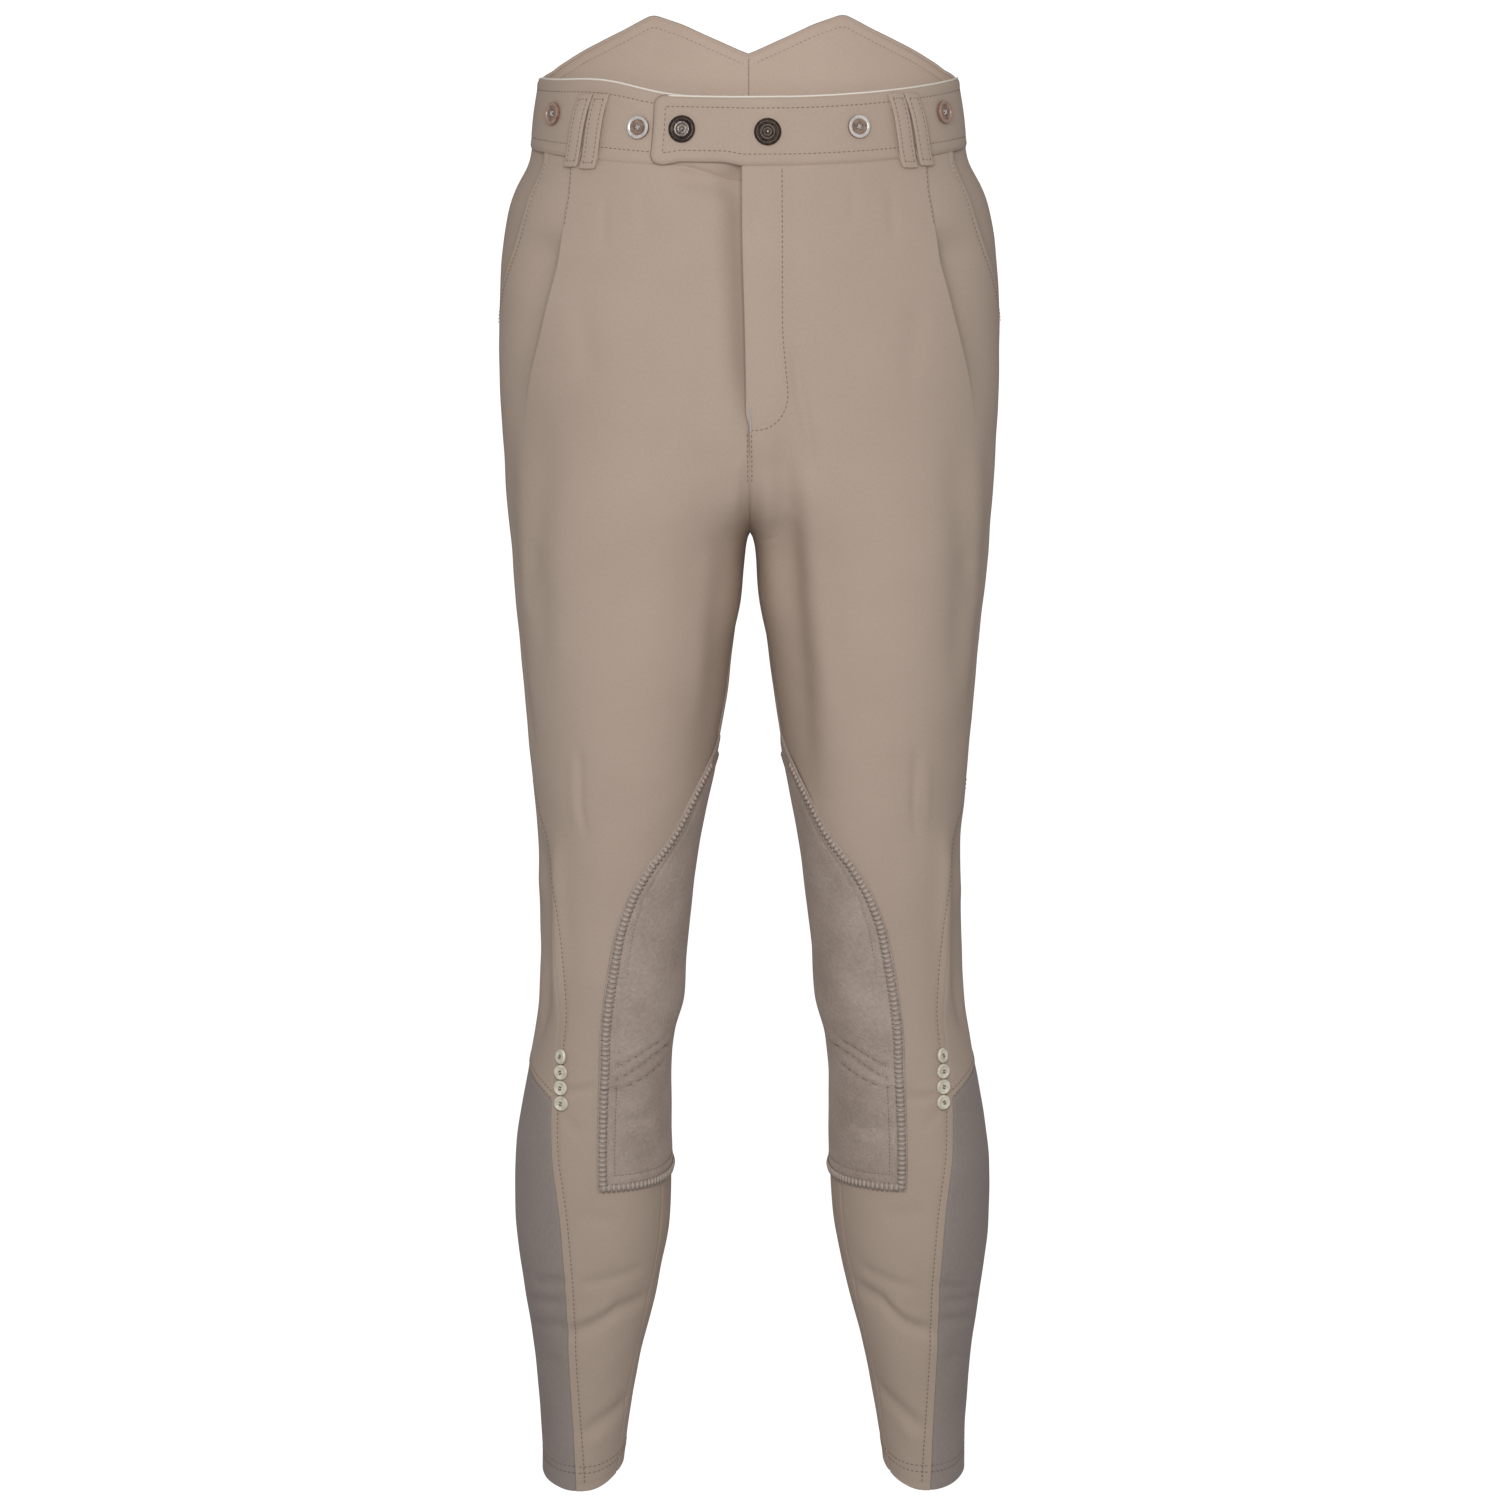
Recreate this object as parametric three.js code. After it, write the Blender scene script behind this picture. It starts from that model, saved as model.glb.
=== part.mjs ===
// Riding breeches for a man, in the shape they have when worn, with no wearer: a high fishtail back, a snapped
// waistband, one pleat and one slanted pocket a side, suede knee patches and stretch calf panels.
// Millimetres, +Z up, the front towards -Y and the wearer's left towards +X.
// The origin is the middle of the waist, halfway up the waistband at the side seams.

import * as THREE from "three";

// Cloth
const TWILL = 1.5; // wall of the twill panels
const BAND = 2.4; // wall of the waistband, two layers and their interlining
const SUEDE = 1.2;
const LOOP_WEBBING = 1.4;
const SEAM_GAP = 0.3; // between neighbouring pieces
const ROUNDNESS = 2.2; // power of the oval sections: 2 is an ellipse, more is squarer

// Heights
const SEAM_ROW = -30; // nominal row of the waist seam, which dips and rises round it
const SEAM = { front: -35.6, side: -23, back: -17 };
const BAND_TOP = { front: 9.5, side: 24 };
const SEAM_BLEND = 100; // the rows level out over this height below the waist seam
const CROTCH = -294;
const KNEE_ROW = -551; // fronts and backs are two solids each that meet here, though their cloth runs on
const CALF_TOP = -699.5;
const CALF_RISE = { height: 24, over: 40, blend: 62 }; // its top edge climbs round the side, steeply at first
const HEM = { height: -996, outerRise: 6, innerRise: 11, blend: 50 }; // it rises a little at the sides of the leg

// Fly and front fastening
const FLY = { bottom: -215, overlap: 2.5, underlap: 18, lift: 2, ease: 30 };
const TAB = { endAngle: -112.6, corner: 6, lift: 0.4, hollow: 2.6 };
const RIGHT_SEAM_DROP = 8.5; // the right waist seam falls away under the tab

// Pleat and pocket
const PLEAT = { drop: 1.8, openDrop: 5.2, riser: 1.6, recover: 26, crown: 1.2 };
const POCKET = { end: -150, under: 9 };

// Fastenings
const BRACE_BUTTON = { radius: 8, thick: 3, rim: 5.6 };
const SNAP = { radius: 8.8, thick: 3.6 };
const KNEE_BUTTON = { radius: 5.1, thick: 2.4, rim: 3.7, first: -665.5, pitch: 11.3, count: 4, inset: 6, drift: 1.2 };
const STAND_OFF = 0.4; // a sewn button stands this far off the cloth

const COLOURS = {
  twill: 0xb09e8d,
  stretch: 0x7c726d,
  suede: 0x998a7e,
  corozo: 0xc4b6a8,
  shell: 0xcfc8ba,
  gunmetal: 0x4a403a,
};

// Horizontal sections of the wearer's left half, from the top down. Each is an oval between outer and inner,
// cut off at the middle plane x = 0 where inner is negative. middle is where the oval is widest.
const SECTIONS = [
  { height: 80, outer: 147, innerFront: -147, innerBack: -147, middle: 0, front: -103, back: 103 },
  { height: 24, outer: 147.5, innerFront: -147.5, innerBack: -147.5, middle: 0, front: -103, back: 104 },
  { height: 0, outer: 151, innerFront: -151, innerBack: -151, middle: 0, front: -105, back: 106 },
  { height: -32, outer: 154.5, innerFront: -154.5, innerBack: -154.5, middle: 0, front: -108, back: 111 },
  { height: -48, outer: 163.3, innerFront: -163.3, innerBack: -163.3, middle: 0, front: -110, back: 114 },
  { height: -64, outer: 169.8, innerFront: -169.8, innerBack: -169.8, middle: 1, front: -112, back: 118 },
  { height: -92, outer: 174.6, innerFront: -174.6, innerBack: -174.6, middle: 2, front: -114, back: 125 },
  { height: -150, outer: 178.2, innerFront: -178.2, innerBack: -178.2, middle: 4, front: -116, back: 133 },
  { height: -180, outer: 177.9, innerFront: -166, innerBack: -158, middle: 4, front: -115.5, back: 132.5 },
  { height: -215, outer: 176.8, innerFront: -134, innerBack: -122, middle: 3, front: -114, back: 130 },
  { height: -245, outer: 175.1, innerFront: -80, innerBack: -72, middle: 2, front: -111.3, back: 124 },
  { height: -265, outer: 173.9, innerFront: -38, innerBack: -34, middle: 1.2, front: -110, back: 119 },
  { height: -278, outer: 173, innerFront: -15, innerBack: -14, middle: 0.6, front: -108.8, back: 116 },
  { height: -287, outer: 172.3, innerFront: -4.2, innerBack: -4, middle: 0.3, front: -108.2, back: 113.6 },
  { height: -294, outer: 171.8, innerFront: 0, innerBack: 0, middle: 0, front: -107.5, back: 112 },
  { height: -304, outer: 171, innerFront: 3.4, innerBack: 3.4, middle: -0.5, front: -106.8, back: 109.6 },
  { height: -345, outer: 167.8, innerFront: 8.2, innerBack: 8.2, middle: -2, front: -104, back: 100 },
  { height: -447, outer: 159.3, innerFront: 22.4, innerBack: 22.4, middle: -4, front: -95, back: 84 },
  { height: -520, outer: 153.8, innerFront: 35.5, innerBack: 35.5, middle: -6, front: -86, back: 71 },
  { height: -594, outer: 153.6, innerFront: 44.3, innerBack: 44.3, middle: -8, front: -76, back: 56.5 },
  { height: -632, outer: 154.4, innerFront: 47.2, innerBack: 47.2, middle: -7.5, front: -72.5, back: 53 },
  { height: -660, outer: 158.4, innerFront: 54.2, innerBack: 54.2, middle: -5, front: -70, back: 55 },
  { height: -698, outer: 165.5, innerFront: 57.6, innerBack: 57.6, middle: -2, front: -67.5, back: 62 },
  { height: -758, outer: 174.1, innerFront: 57.2, innerBack: 57.2, middle: 3, front: -64.5, back: 70.5 },
  { height: -800, outer: 174.4, innerFront: 59.5, innerBack: 59.5, middle: 4, front: -61.5, back: 69.5 },
  { height: -849, outer: 168.6, innerFront: 69.2, innerBack: 69.2, middle: 3.5, front: -56, back: 61 },
  { height: -910, outer: 160.7, innerFront: 84.2, innerBack: 84.2, middle: 2.5, front: -49, back: 50 },
  { height: -955, outer: 157.3, innerFront: 92.2, innerBack: 92.2, middle: 2, front: -44.5, back: 45 },
  { height: -996, outer: 156.7, innerFront: 97.6, innerBack: 97.6, middle: 1, front: -41, back: 42 },
];

// Seam lines round the leg, as angles in degrees: 0 is the outer side, -90 the front, 90 the back, 180 the inner side.
const SIDE_SEAM = [
  { height: 80, angle: 0 },
  { height: -440, angle: 0 },
  { height: -478, angle: -11 },
  { height: -506, angle: -26 },
  { height: -541, angle: -40 },
  { height: -589, angle: -47 },
  { height: -651, angle: -52 },
  { height: -700, angle: -55.7 },
  { height: -732, angle: -60.5 },
  { height: -768, angle: -67 },
  { height: -823, angle: -72.5 },
  { height: -884, angle: -74 },
  { height: -929, angle: -77.5 },
  { height: -996, angle: -86 },
];
const FISHTAIL_EDGE = [
  { angle: 0, height: 23 },
  { angle: 18, height: 30 },
  { angle: 30, height: 39 },
  { angle: 45, height: 52 },
  { angle: 54, height: 60.5 },
  { angle: 64, height: 72 },
  { angle: 73, height: 65 },
  { angle: 84, height: 52 },
  { angle: 90, height: 44 },
];
const INSEAM_SHIFT = [
  { height: -294, angle: 0 },
  { height: -400, angle: 4 },
  { height: -700, angle: 28 },
  { height: -996, angle: 30 },
];
const PLEAT_LINE = [
  { height: -30, angle: -38.5 },
  { height: -60, angle: -44 },
  { height: -95, angle: -43.9 },
  { height: -117, angle: -41.8 },
  { height: -148, angle: -38 },
  { height: -195, angle: -31.5 },
  { height: -240, angle: -28 },
  { height: -440, angle: -36 },
  { height: -541, angle: -60 },
  { height: -700, angle: -73 },
  { height: -996, angle: -100 },
];
const POCKET_LINE = [
  { height: -23, angle: -22 },
  { height: -50, angle: -24.5 },
  { height: -70, angle: -24 },
  { height: -88, angle: -20.5 },
  { height: -118, angle: -11.5 },
  { height: -150, angle: 0 },
];
const PATCH_OUTLINE = [
  { height: -440, front: -168, back: 183 },
  { height: -450, front: -160, back: 176 },
  { height: -476, front: -141, back: 161 },
  { height: -503, front: -125.7, back: 151 },
  { height: -526, front: -108, back: 145 },
  { height: -551, front: -96.7, back: 141 },
  { height: -577, front: -90.6, back: 138 },
  { height: -636, front: -85.7, back: 135 },
  { height: -680, front: -90, back: 134 },
  { height: -765, front: -94, back: 138 },
];

// The largest folds, as soft troughs where depth is negative and ridges where it is positive.
// side is 1 for the wearer's left leg, -1 for the right and 0 for both.
const FOLDS = [
  { side: -1, fromAngle: -84, from: -58, toAngle: -86, to: -225, width: 11, depth: -3 },
  { side: 1, fromAngle: -79, from: -226, toAngle: -83, to: -280, width: 7, depth: -2 },
  { side: 1, fromAngle: -84, from: -226, toAngle: -117, to: -310, width: 12, depth: -3 },
  { side: 1, fromAngle: -117, from: -280, toAngle: -113, to: -460, width: 13, depth: -3.6 },
  { side: 1, fromAngle: -98, from: -290, toAngle: -96, to: -450, width: 13, depth: 1.8 },
  { side: -1, fromAngle: -132, from: -290, toAngle: -133, to: -460, width: 12, depth: -3 },
  { side: 0, fromAngle: -30, from: -200, toAngle: -24, to: -300, width: 14, depth: -2.4 },
  { side: 0, fromAngle: -42, from: -300, toAngle: -28, to: -335, width: 12, depth: -2 },
  { side: 0, fromAngle: -69, from: -440, toAngle: -67, to: -510, width: 8, depth: -1.6 },
  { side: 0, fromAngle: -10, from: -548, toAngle: -14, to: -628, width: 9, depth: -3 },
  { side: 0, fromAngle: -82, from: -872, toAngle: -128, to: -852, width: 8, depth: 1.8 },
  { side: 0, fromAngle: 55, from: -612, toAngle: 120, to: -622, width: 11, depth: -3 },
  { side: 0, fromAngle: 50, from: -640, toAngle: 120, to: -655, width: 10, depth: -2.2 },
  { side: 0, fromAngle: 60, from: -310, toAngle: 130, to: -335, width: 16, depth: -3 },
];

// Rows down the leg, closest together where the sections change fastest.
const LEG_ROWS = [
  SEAM_ROW, -46, -62, -80, -100, -125, -150, -180, -204, -218, -242, -260, -275, -286, -292, CROTCH, -304, -325,
  -355, -390, -420, -440, -452, -476, -503, -526, -551, -577, -607, -636, -657, -680, CALF_TOP, -730, -765, -795,
  -828, -862, -900, -945, HEM.height,
];

// The rows above and below the knee, each parted from the other by half a gap.
const THIGH_ROWS = LEG_ROWS.filter((row) => row >= KNEE_ROW).map((row) => (row === KNEE_ROW ? row + SEAM_GAP / 2 : row));
const SHIN_ROWS = LEG_ROWS.filter((row) => row <= KNEE_ROW).map((row) => (row === KNEE_ROW ? row - SEAM_GAP / 2 : row));

const DEGREE = Math.PI / 180;

const clamp01 = (t) => Math.min(1, Math.max(0, t));
const lerp = (a, b, t) => a + (b - a) * t;

function smooth(t) {
  const s = clamp01(t);
  return s * s * (3 - 2 * s);
}

function signedPower(value, power) {
  return Math.sign(value) * Math.abs(value) ** power;
}

// A curve of one column of a table over another, smooth and never past its rows.
function column(table, key, over = "height") {
  const rows = [...table].sort((a, b) => a[over] - b[over]);
  const slopes = rows.slice(1).map((row, i) => (row[key] - rows[i][key]) / (row[over] - rows[i][over]));
  const tangents = rows.map((_, i) => {
    const before = slopes[Math.max(i - 1, 0)];
    const after = slopes[Math.min(i, slopes.length - 1)];
    return before * after <= 0 ? 0 : (2 * before * after) / (before + after);
  });
  return (place) => {
    const last = rows.length - 1;
    const at = Math.min(rows[last][over], Math.max(rows[0][over], place));
    let i = 0;
    while (i < last - 1 && at > rows[i + 1][over]) i += 1;
    const span = rows[i + 1][over] - rows[i][over];
    const t = (at - rows[i][over]) / span;
    const rise = rows[i + 1][key] - rows[i][key];
    const start = tangents[i] * span;
    const end = tangents[i + 1] * span;
    return rows[i][key] + t * (start + t * (3 * rise - 2 * start - end + t * (start + end - 2 * rise)));
  };
}

const outerAt = column(SECTIONS, "outer");
const innerFrontAt = column(SECTIONS, "innerFront");
const innerBackAt = column(SECTIONS, "innerBack");
const middleAt = column(SECTIONS, "middle");
const frontAt = column(SECTIONS, "front");
const backAt = column(SECTIONS, "back");
const sideSeam = column(SIDE_SEAM, "angle");
const inseamShift = column(INSEAM_SHIFT, "angle");
const pleatLine = column(PLEAT_LINE, "angle");
const pocketLine = column(POCKET_LINE, "angle");
const patchFront = column(PATCH_OUTLINE, "front");
const patchBack = column(PATCH_OUTLINE, "back");
const fishtailEdge = column(FISHTAIL_EDGE, "height", "angle");

// The smooth form of the left half at an angle and height, before its folds.
function form(angle, height) {
  const turn = Math.sin(angle * DEGREE);
  const inner = turn > 0 ? innerBackAt(height) : innerFrontAt(height);
  const outer = outerAt(height);
  const middle = middleAt(height);
  const depth = turn > 0 ? backAt(height) - middle : middle - frontAt(height);
  const x = (outer + inner) / 2 + ((outer - inner) / 2) * signedPower(Math.cos(angle * DEGREE), 2 / ROUNDNESS);
  return new THREE.Vector3(x, middle + depth * signedPower(turn, 2 / ROUNDNESS), height);
}

function outward(angle, height) {
  const step = 0.5;
  const around = form(angle + step, height).sub(form(angle - step, height));
  const up = form(angle, height + step).sub(form(angle, height - step));
  return around.cross(up).normalize();
}

// Millimetres along the cloth for one degree at a height, about.
function perDegree(height) {
  return ((outerAt(height) - Math.max(innerFrontAt(height), -outerAt(height)) + backAt(height) - frontAt(height)) / 4)
    * DEGREE;
}

// The angle where the front of the half meets the plane x, or its inseam below the crotch.
function frontEdge(height, x) {
  if (height <= CROTCH) return -180 + inseamShift(height) + x / perDegree(height);
  const inner = innerFrontAt(height);
  const outer = outerAt(height);
  const share = Math.max(-1, (x - (outer + inner) / 2) / ((outer - inner) / 2));
  return -Math.acos(signedPower(share, ROUNDNESS / 2)) / DEGREE;
}

function backEdge(height, x) {
  if (height <= CROTCH) return 180 + inseamShift(height) - x / perDegree(height);
  const inner = innerBackAt(height);
  const outer = outerAt(height);
  const share = Math.max(-1, (x - (outer + inner) / 2) / ((outer - inner) / 2));
  return Math.acos(signedPower(share, ROUNDNESS / 2)) / DEGREE;
}

// The pleat: stitched shut at the top, then open into a soft step that falls away towards the side seam.
function pleatHeight(angle, height) {
  const past = (angle - pleatLine(height)) * perDegree(height);
  const open = smooth((-height - 75) / 45) * (1 - smooth((-height - 140) / 90));
  const shut = 1 - smooth((-height - 70) / 90);
  const drop = PLEAT.drop * shut + PLEAT.openDrop * open;
  if (past <= 0) return PLEAT.crown * open * Math.exp(past / PLEAT.recover);
  return -drop * smooth(past / PLEAT.riser) * Math.exp(-past / PLEAT.recover) + PLEAT.crown * open
    * (1 - smooth(past / PLEAT.riser));
}

function foldHeight(angle, height, side) {
  let sum = 0;
  for (const fold of FOLDS) {
    if (fold.side !== 0 && fold.side !== side) continue;
    const scale = perDegree((fold.from + fold.to) / 2);
    const run = (fold.toAngle - fold.fromAngle) * scale;
    const rise = fold.to - fold.from;
    const across = (angle - fold.fromAngle) * scale;
    const up = height - fold.from;
    const along = (across * run + up * rise) / (run * run + rise * rise);
    const t = clamp01(along);
    const away = Math.hypot(across - t * run, up - t * rise);
    const taper = smooth(Math.min(t, 1 - t) / 0.3);
    sum += fold.depth * taper * Math.exp(-((away / fold.width) ** 2));
  }
  return sum;
}

// The left front laps over the right one along the fly.
function flyLift(angle, height, side) {
  if (side < 0) return 0;
  const x = form(angle, height).x;
  const near = 1 - smooth((x - 14) / FLY.ease);
  return FLY.lift * near * (1 - smooth((FLY.bottom - 3 - height) / 24));
}

// The point of a half's cloth at an angle and height, raised by lift from its face.
function cloth(angle, height, side, lift) {
  const turned = angle < -180 ? angle + 360 : angle;
  const pleated = turned < 20 ? pleatHeight(turned, height) : 0;
  const raised = lift + pleated + foldHeight(turned, height, side) + (turned < 0 ? flyLift(turned, height, side) : 0);
  const point = form(angle, height).addScaledVector(outward(angle, height), raised);
  point.x *= side;
  return point;
}

function normalOf(angle, height, side) {
  const normal = outward(angle, height);
  normal.x *= side;
  return normal;
}

// A piece of cloth: a closed wall over a grid of places, each an angle, a height and a lift.
// The rows run down the garment and the columns round it. Cells that keep refuses are cut out.
function wall(grid, side, thickness, keep = () => true) {
  const rows = grid.length;
  const columns = grid[0].length;
  const positions = [];
  for (const row of grid) {
    for (const { angle, height, lift } of row) {
      const face = cloth(angle, height, side, lift);
      const back = face.clone().addScaledVector(normalOf(angle, height, side), -thickness);
      positions.push(...face.toArray(), ...back.toArray());
    }
  }
  const index = [];
  const faceAt = (r, c) => 2 * (r * columns + c);
  const backAtCell = (r, c) => faceAt(r, c) + 1;
  const quad = (a, b, c, d) => {
    const corners = side > 0 ? [a, b, c, a, c, d] : [a, c, b, a, d, c];
    index.push(...corners);
  };
  const kept = (r, c) => r >= 0 && c >= 0 && r < rows - 1 && c < columns - 1 && keep(r, c);
  for (let r = 0; r < rows - 1; r += 1) {
    for (let c = 0; c < columns - 1; c += 1) {
      if (!kept(r, c)) continue;
      quad(faceAt(r, c), faceAt(r + 1, c), faceAt(r + 1, c + 1), faceAt(r, c + 1));
      quad(backAtCell(r, c), backAtCell(r, c + 1), backAtCell(r + 1, c + 1), backAtCell(r + 1, c));
      if (!kept(r - 1, c)) quad(faceAt(r, c), faceAt(r, c + 1), backAtCell(r, c + 1), backAtCell(r, c));
      if (!kept(r + 1, c)) {
        quad(faceAt(r + 1, c + 1), faceAt(r + 1, c), backAtCell(r + 1, c), backAtCell(r + 1, c + 1));
      }
      if (!kept(r, c - 1)) quad(faceAt(r + 1, c), faceAt(r, c), backAtCell(r, c), backAtCell(r + 1, c));
      if (!kept(r, c + 1)) {
        quad(faceAt(r, c + 1), faceAt(r + 1, c + 1), backAtCell(r + 1, c + 1), backAtCell(r, c + 1));
      }
    }
  }
  const used = [...new Set(index)];
  const renumbered = new Map(used.map((old, i) => [old, i]));
  const packed = used.flatMap((i) => positions.slice(3 * i, 3 * i + 3));
  const geometry = new THREE.BufferGeometry();
  geometry.setAttribute("position", new THREE.Float32BufferAttribute(packed, 3));
  geometry.setIndex(index.map((i) => renumbered.get(i)));
  return geometry;
}

// Height of the waist seam at an angle.
function waistSeam(angle, side) {
  const turn = Math.sin(angle * DEGREE);
  if (turn > 0) return lerp(SEAM.side, SEAM.back, turn ** 2);
  const drop = side < 0 ? RIGHT_SEAM_DROP * smooth((-angle - 73) / 16) : 0;
  return lerp(SEAM.side, SEAM.front, Math.abs(turn) ** 1.6) - drop;
}

// Height of the waistband's top edge: it dips at the front, and the fishtail rises to a peak behind each hip.
function bandTop(angle) {
  const turn = Math.sin(angle * DEGREE);
  if (turn <= 0) return lerp(BAND_TOP.side, BAND_TOP.front, Math.abs(turn) ** 1.6);
  return fishtailEdge(angle);
}

// True height of a nominal row: it follows the waist seam, the calf panel's slanting edge and the hem.
function rowHeight(row, angle, side) {
  const high = 1 - clamp01((SEAM_ROW - row) / SEAM_BLEND);
  const near = 1 - clamp01(Math.abs(row - CALF_TOP) / CALF_RISE.blend);
  const past = Math.max(0, angle - sideSeam(CALF_TOP));
  const climb = (1 - Math.exp(-past / CALF_RISE.over)) * (1 - smooth((angle - 120) / 70));
  const low = clamp01(1 - (row - HEM.height) / HEM.blend);
  return row + high * (waistSeam(angle, side) - SEAM_ROW) + near * CALF_RISE.height * climb
    + low * (Math.abs(angle) < 90 ? HEM.outerRise : HEM.innerRise) * Math.cos(angle * DEGREE) ** 2;
}

// Shares from 0 to 1 in equal steps.
const steps = (count) => Array.from({ length: count + 1 }, (_, i) => i / count);

// A grid of places from rows, the angles of each row and a lift.
function sheetGrid(rows, anglesOf, side, lift = () => 0) {
  return rows.map((row) => anglesOf(row).map((angle) => {
    const height = rowHeight(row, angle, side);
    return { angle, height, lift: lift(angle, height) };
  }));
}

// Half a seam's gap, as an angle.
const gapAngle = (height) => SEAM_GAP / 2 / perDegree(height);

// Where a knee patch's edge crosses a row. Above the patch the column of points fans out again.
function patchEdge(edge, row, start, end, share) {
  const top = PATCH_OUTLINE[0].height;
  return lerp(edge(row), lerp(start, end, share), smooth((row - top) / 80));
}

const PATCH_STEPS = 4;
const FRONT_STEPS = 7;
const UNDER_STEPS = 2;

// The front runs from the fly and inseam to the pocket mouth and side seam, with the pleat between.
function frontAngles(row, side) {
  const lap = (side > 0 ? FLY.overlap : FLY.underlap) * smooth((row - FLY.bottom - 1) / 22);
  const inner = frontEdge(row, SEAM_GAP / 2 - lap);
  const pleat = pleatLine(row);
  const patch = patchEdge(patchFront, row, inner, pleat, 0.36);
  const mouth = row > POCKET.end ? Math.min(pocketLine(row), sideSeam(row)) : sideSeam(row);
  const outer = mouth - gapAngle(row);
  const under = Math.max(outer - POCKET.under / perDegree(row), lerp(pleat, outer, 0.6));
  return [
    ...steps(PATCH_STEPS).map((t) => lerp(inner, patch, t)),
    ...steps(FRONT_STEPS).slice(1).map((t) => lerp(patch, pleat, t)),
    pleat + PLEAT.riser / perDegree(row),
    lerp(pleat, under, 0.55),
    ...steps(UNDER_STEPS).map((t) => lerp(under, outer, t)),
  ];
}

function frontPanel(side, legRows) {
  return wall(sheetGrid(legRows, (row) => frontAngles(row, side), side), side, TWILL);
}

const CALF_SHARE = 0.6; // how far round the back the calf panel reaches
const CALF_STEPS = 8;

function backAngles(row, inset) {
  const start = sideSeam(row) + gapAngle(row);
  const end = backEdge(row, SEAM_GAP / 2);
  const split = lerp(start, end, CALF_SHARE) + inset * gapAngle(row);
  const patch = patchEdge(patchBack, row, split, end, 0.4);
  return [
    ...steps(CALF_STEPS).map((t) => lerp(start, split, t)),
    lerp(split, patch, 0.5),
    ...steps(PATCH_STEPS).map((t) => lerp(patch, end, t)),
  ];
}

// The back runs from the side seam to the seat seam and inseam. Below the knee it leaves room for the calf panel.
function backPanel(side, legRows) {
  const rows = legRows.map((row) => (row === CALF_TOP ? row + SEAM_GAP / 2 : row));
  const grid = sheetGrid(rows, (row) => backAngles(row, 1), side);
  return wall(grid, side, TWILL, (r, c) => legRows[r] > CALF_TOP || c >= CALF_STEPS);
}

function calfPanel(side) {
  const rows = LEG_ROWS.filter((row) => row <= CALF_TOP).map((row) => (row === CALF_TOP ? row - SEAM_GAP / 2 : row));
  const anglesOf = (row) => backAngles(row, -1).slice(0, CALF_STEPS + 1);
  return wall(sheetGrid(rows, anglesOf, side), side, TWILL);
}

// The hip piece behind the slanted pocket mouth, tucked under the front's edge and flush at the side seam.
function pocketFacing(side) {
  const UNDER_LIFT = -(TWILL + 1.1);
  const LEAST = 3; // millimetres of width left past the mouth where it closes
  const rows = LEG_ROWS.filter((row) => row >= POCKET.end);
  const grid = rows.map((row) => {
    const seam = sideSeam(row) - gapAngle(row);
    const mouth = Math.min(frontAngles(row, side).at(-1), seam - LEAST / perDegree(row));
    const start = mouth - POCKET.under / perDegree(row);
    const rise = lerp(UNDER_LIFT, 0, smooth((row - POCKET.end) / 25));
    const tucked = steps(2).map((t) => ({ angle: lerp(start, mouth, t), lift: UNDER_LIFT }));
    const open = steps(3).slice(1).map((t) => ({
      angle: lerp(mouth, seam, t), lift: lerp(UNDER_LIFT, rise, smooth(t)),
    }));
    return [...tucked, ...open].map(({ angle, lift }) => ({ angle, lift, height: rowHeight(row, angle, side) }));
  });
  return wall(grid, side, TWILL);
}

// The suede knee patch lies over the inseam, on the points of the back and front panels.
function kneePatch(side) {
  const LIFT = SUEDE + 0.35;
  const rows = LEG_ROWS.filter((row) => row <= PATCH_OUTLINE[0].height && row >= PATCH_OUTLINE.at(-1).height);
  const anglesOf = (row) => [...backAngles(row, 1).slice(-PATCH_STEPS - 1), ...frontAngles(row, side).slice(0, PATCH_STEPS + 1)];
  return wall(sheetGrid(rows, anglesOf, side, () => LIFT), side, SUEDE);
}

const BAND_LIFT = 0.8;

// A stretch of waistband between two angles, from the waist seam to its top edge.
function bandPiece(side, shares, anglesOf, lift = () => BAND_LIFT, raise = () => 0) {
  const grid = shares.map((share) => anglesOf(share).map((angle) => {
    const low = waistSeam(angle, side) + SEAM_GAP / 2 + raise(angle);
    return { angle, height: lerp(bandTop(angle), low, share), lift: lift(angle) };
  }));
  return wall(grid, side, BAND);
}

// Angles of the waistband over a front and its pocket facing, so that the two meet along one seam line.
function bandAngles(side) {
  return [...frontAngles(SEAM_ROW, side), ...steps(3).slice(1).map((t) => (1 - t) * pocketLine(SEAM_ROW))];
}

// The right half lies flat under the tab.
function waistbandRight() {
  const lift = (angle) => BAND_LIFT * (1 - smooth((-angle - 62) / 6));
  return bandPiece(-1, steps(3), () => bandAngles(-1).map((angle) => Math.min(angle, -gapAngle(0))), lift);
}

// The left half carries the tab, which crosses the front and rides over the right half.
function waistbandLeft() {
  const shares = [0, 0.03, 0.07, 0.13, 0.5, 0.87, 0.93, 0.97, 1];
  const height = BAND_TOP.front - SEAM.front;
  const anglesOf = (share) => {
    const fromEdge = Math.min(share, 1 - share) * height;
    const cut = Math.max(0, TAB.corner - fromEdge);
    const rounded = TAB.corner - Math.sqrt(TAB.corner ** 2 - cut ** 2);
    const end = TAB.endAngle + rounded / perDegree(0);
    return steps(16).map((t) => lerp(end, -gapAngle(0), t));
  };
  const lift = (angle) => BAND_LIFT + TAB.lift * smooth((-angle - 75) / 10);
  const raise = (angle) => TAB.hollow * smooth((-angle - 90) / 5) * (1 - smooth((-angle - 104) / 6));
  return bandPiece(1, shares, anglesOf, lift, raise);
}

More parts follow.
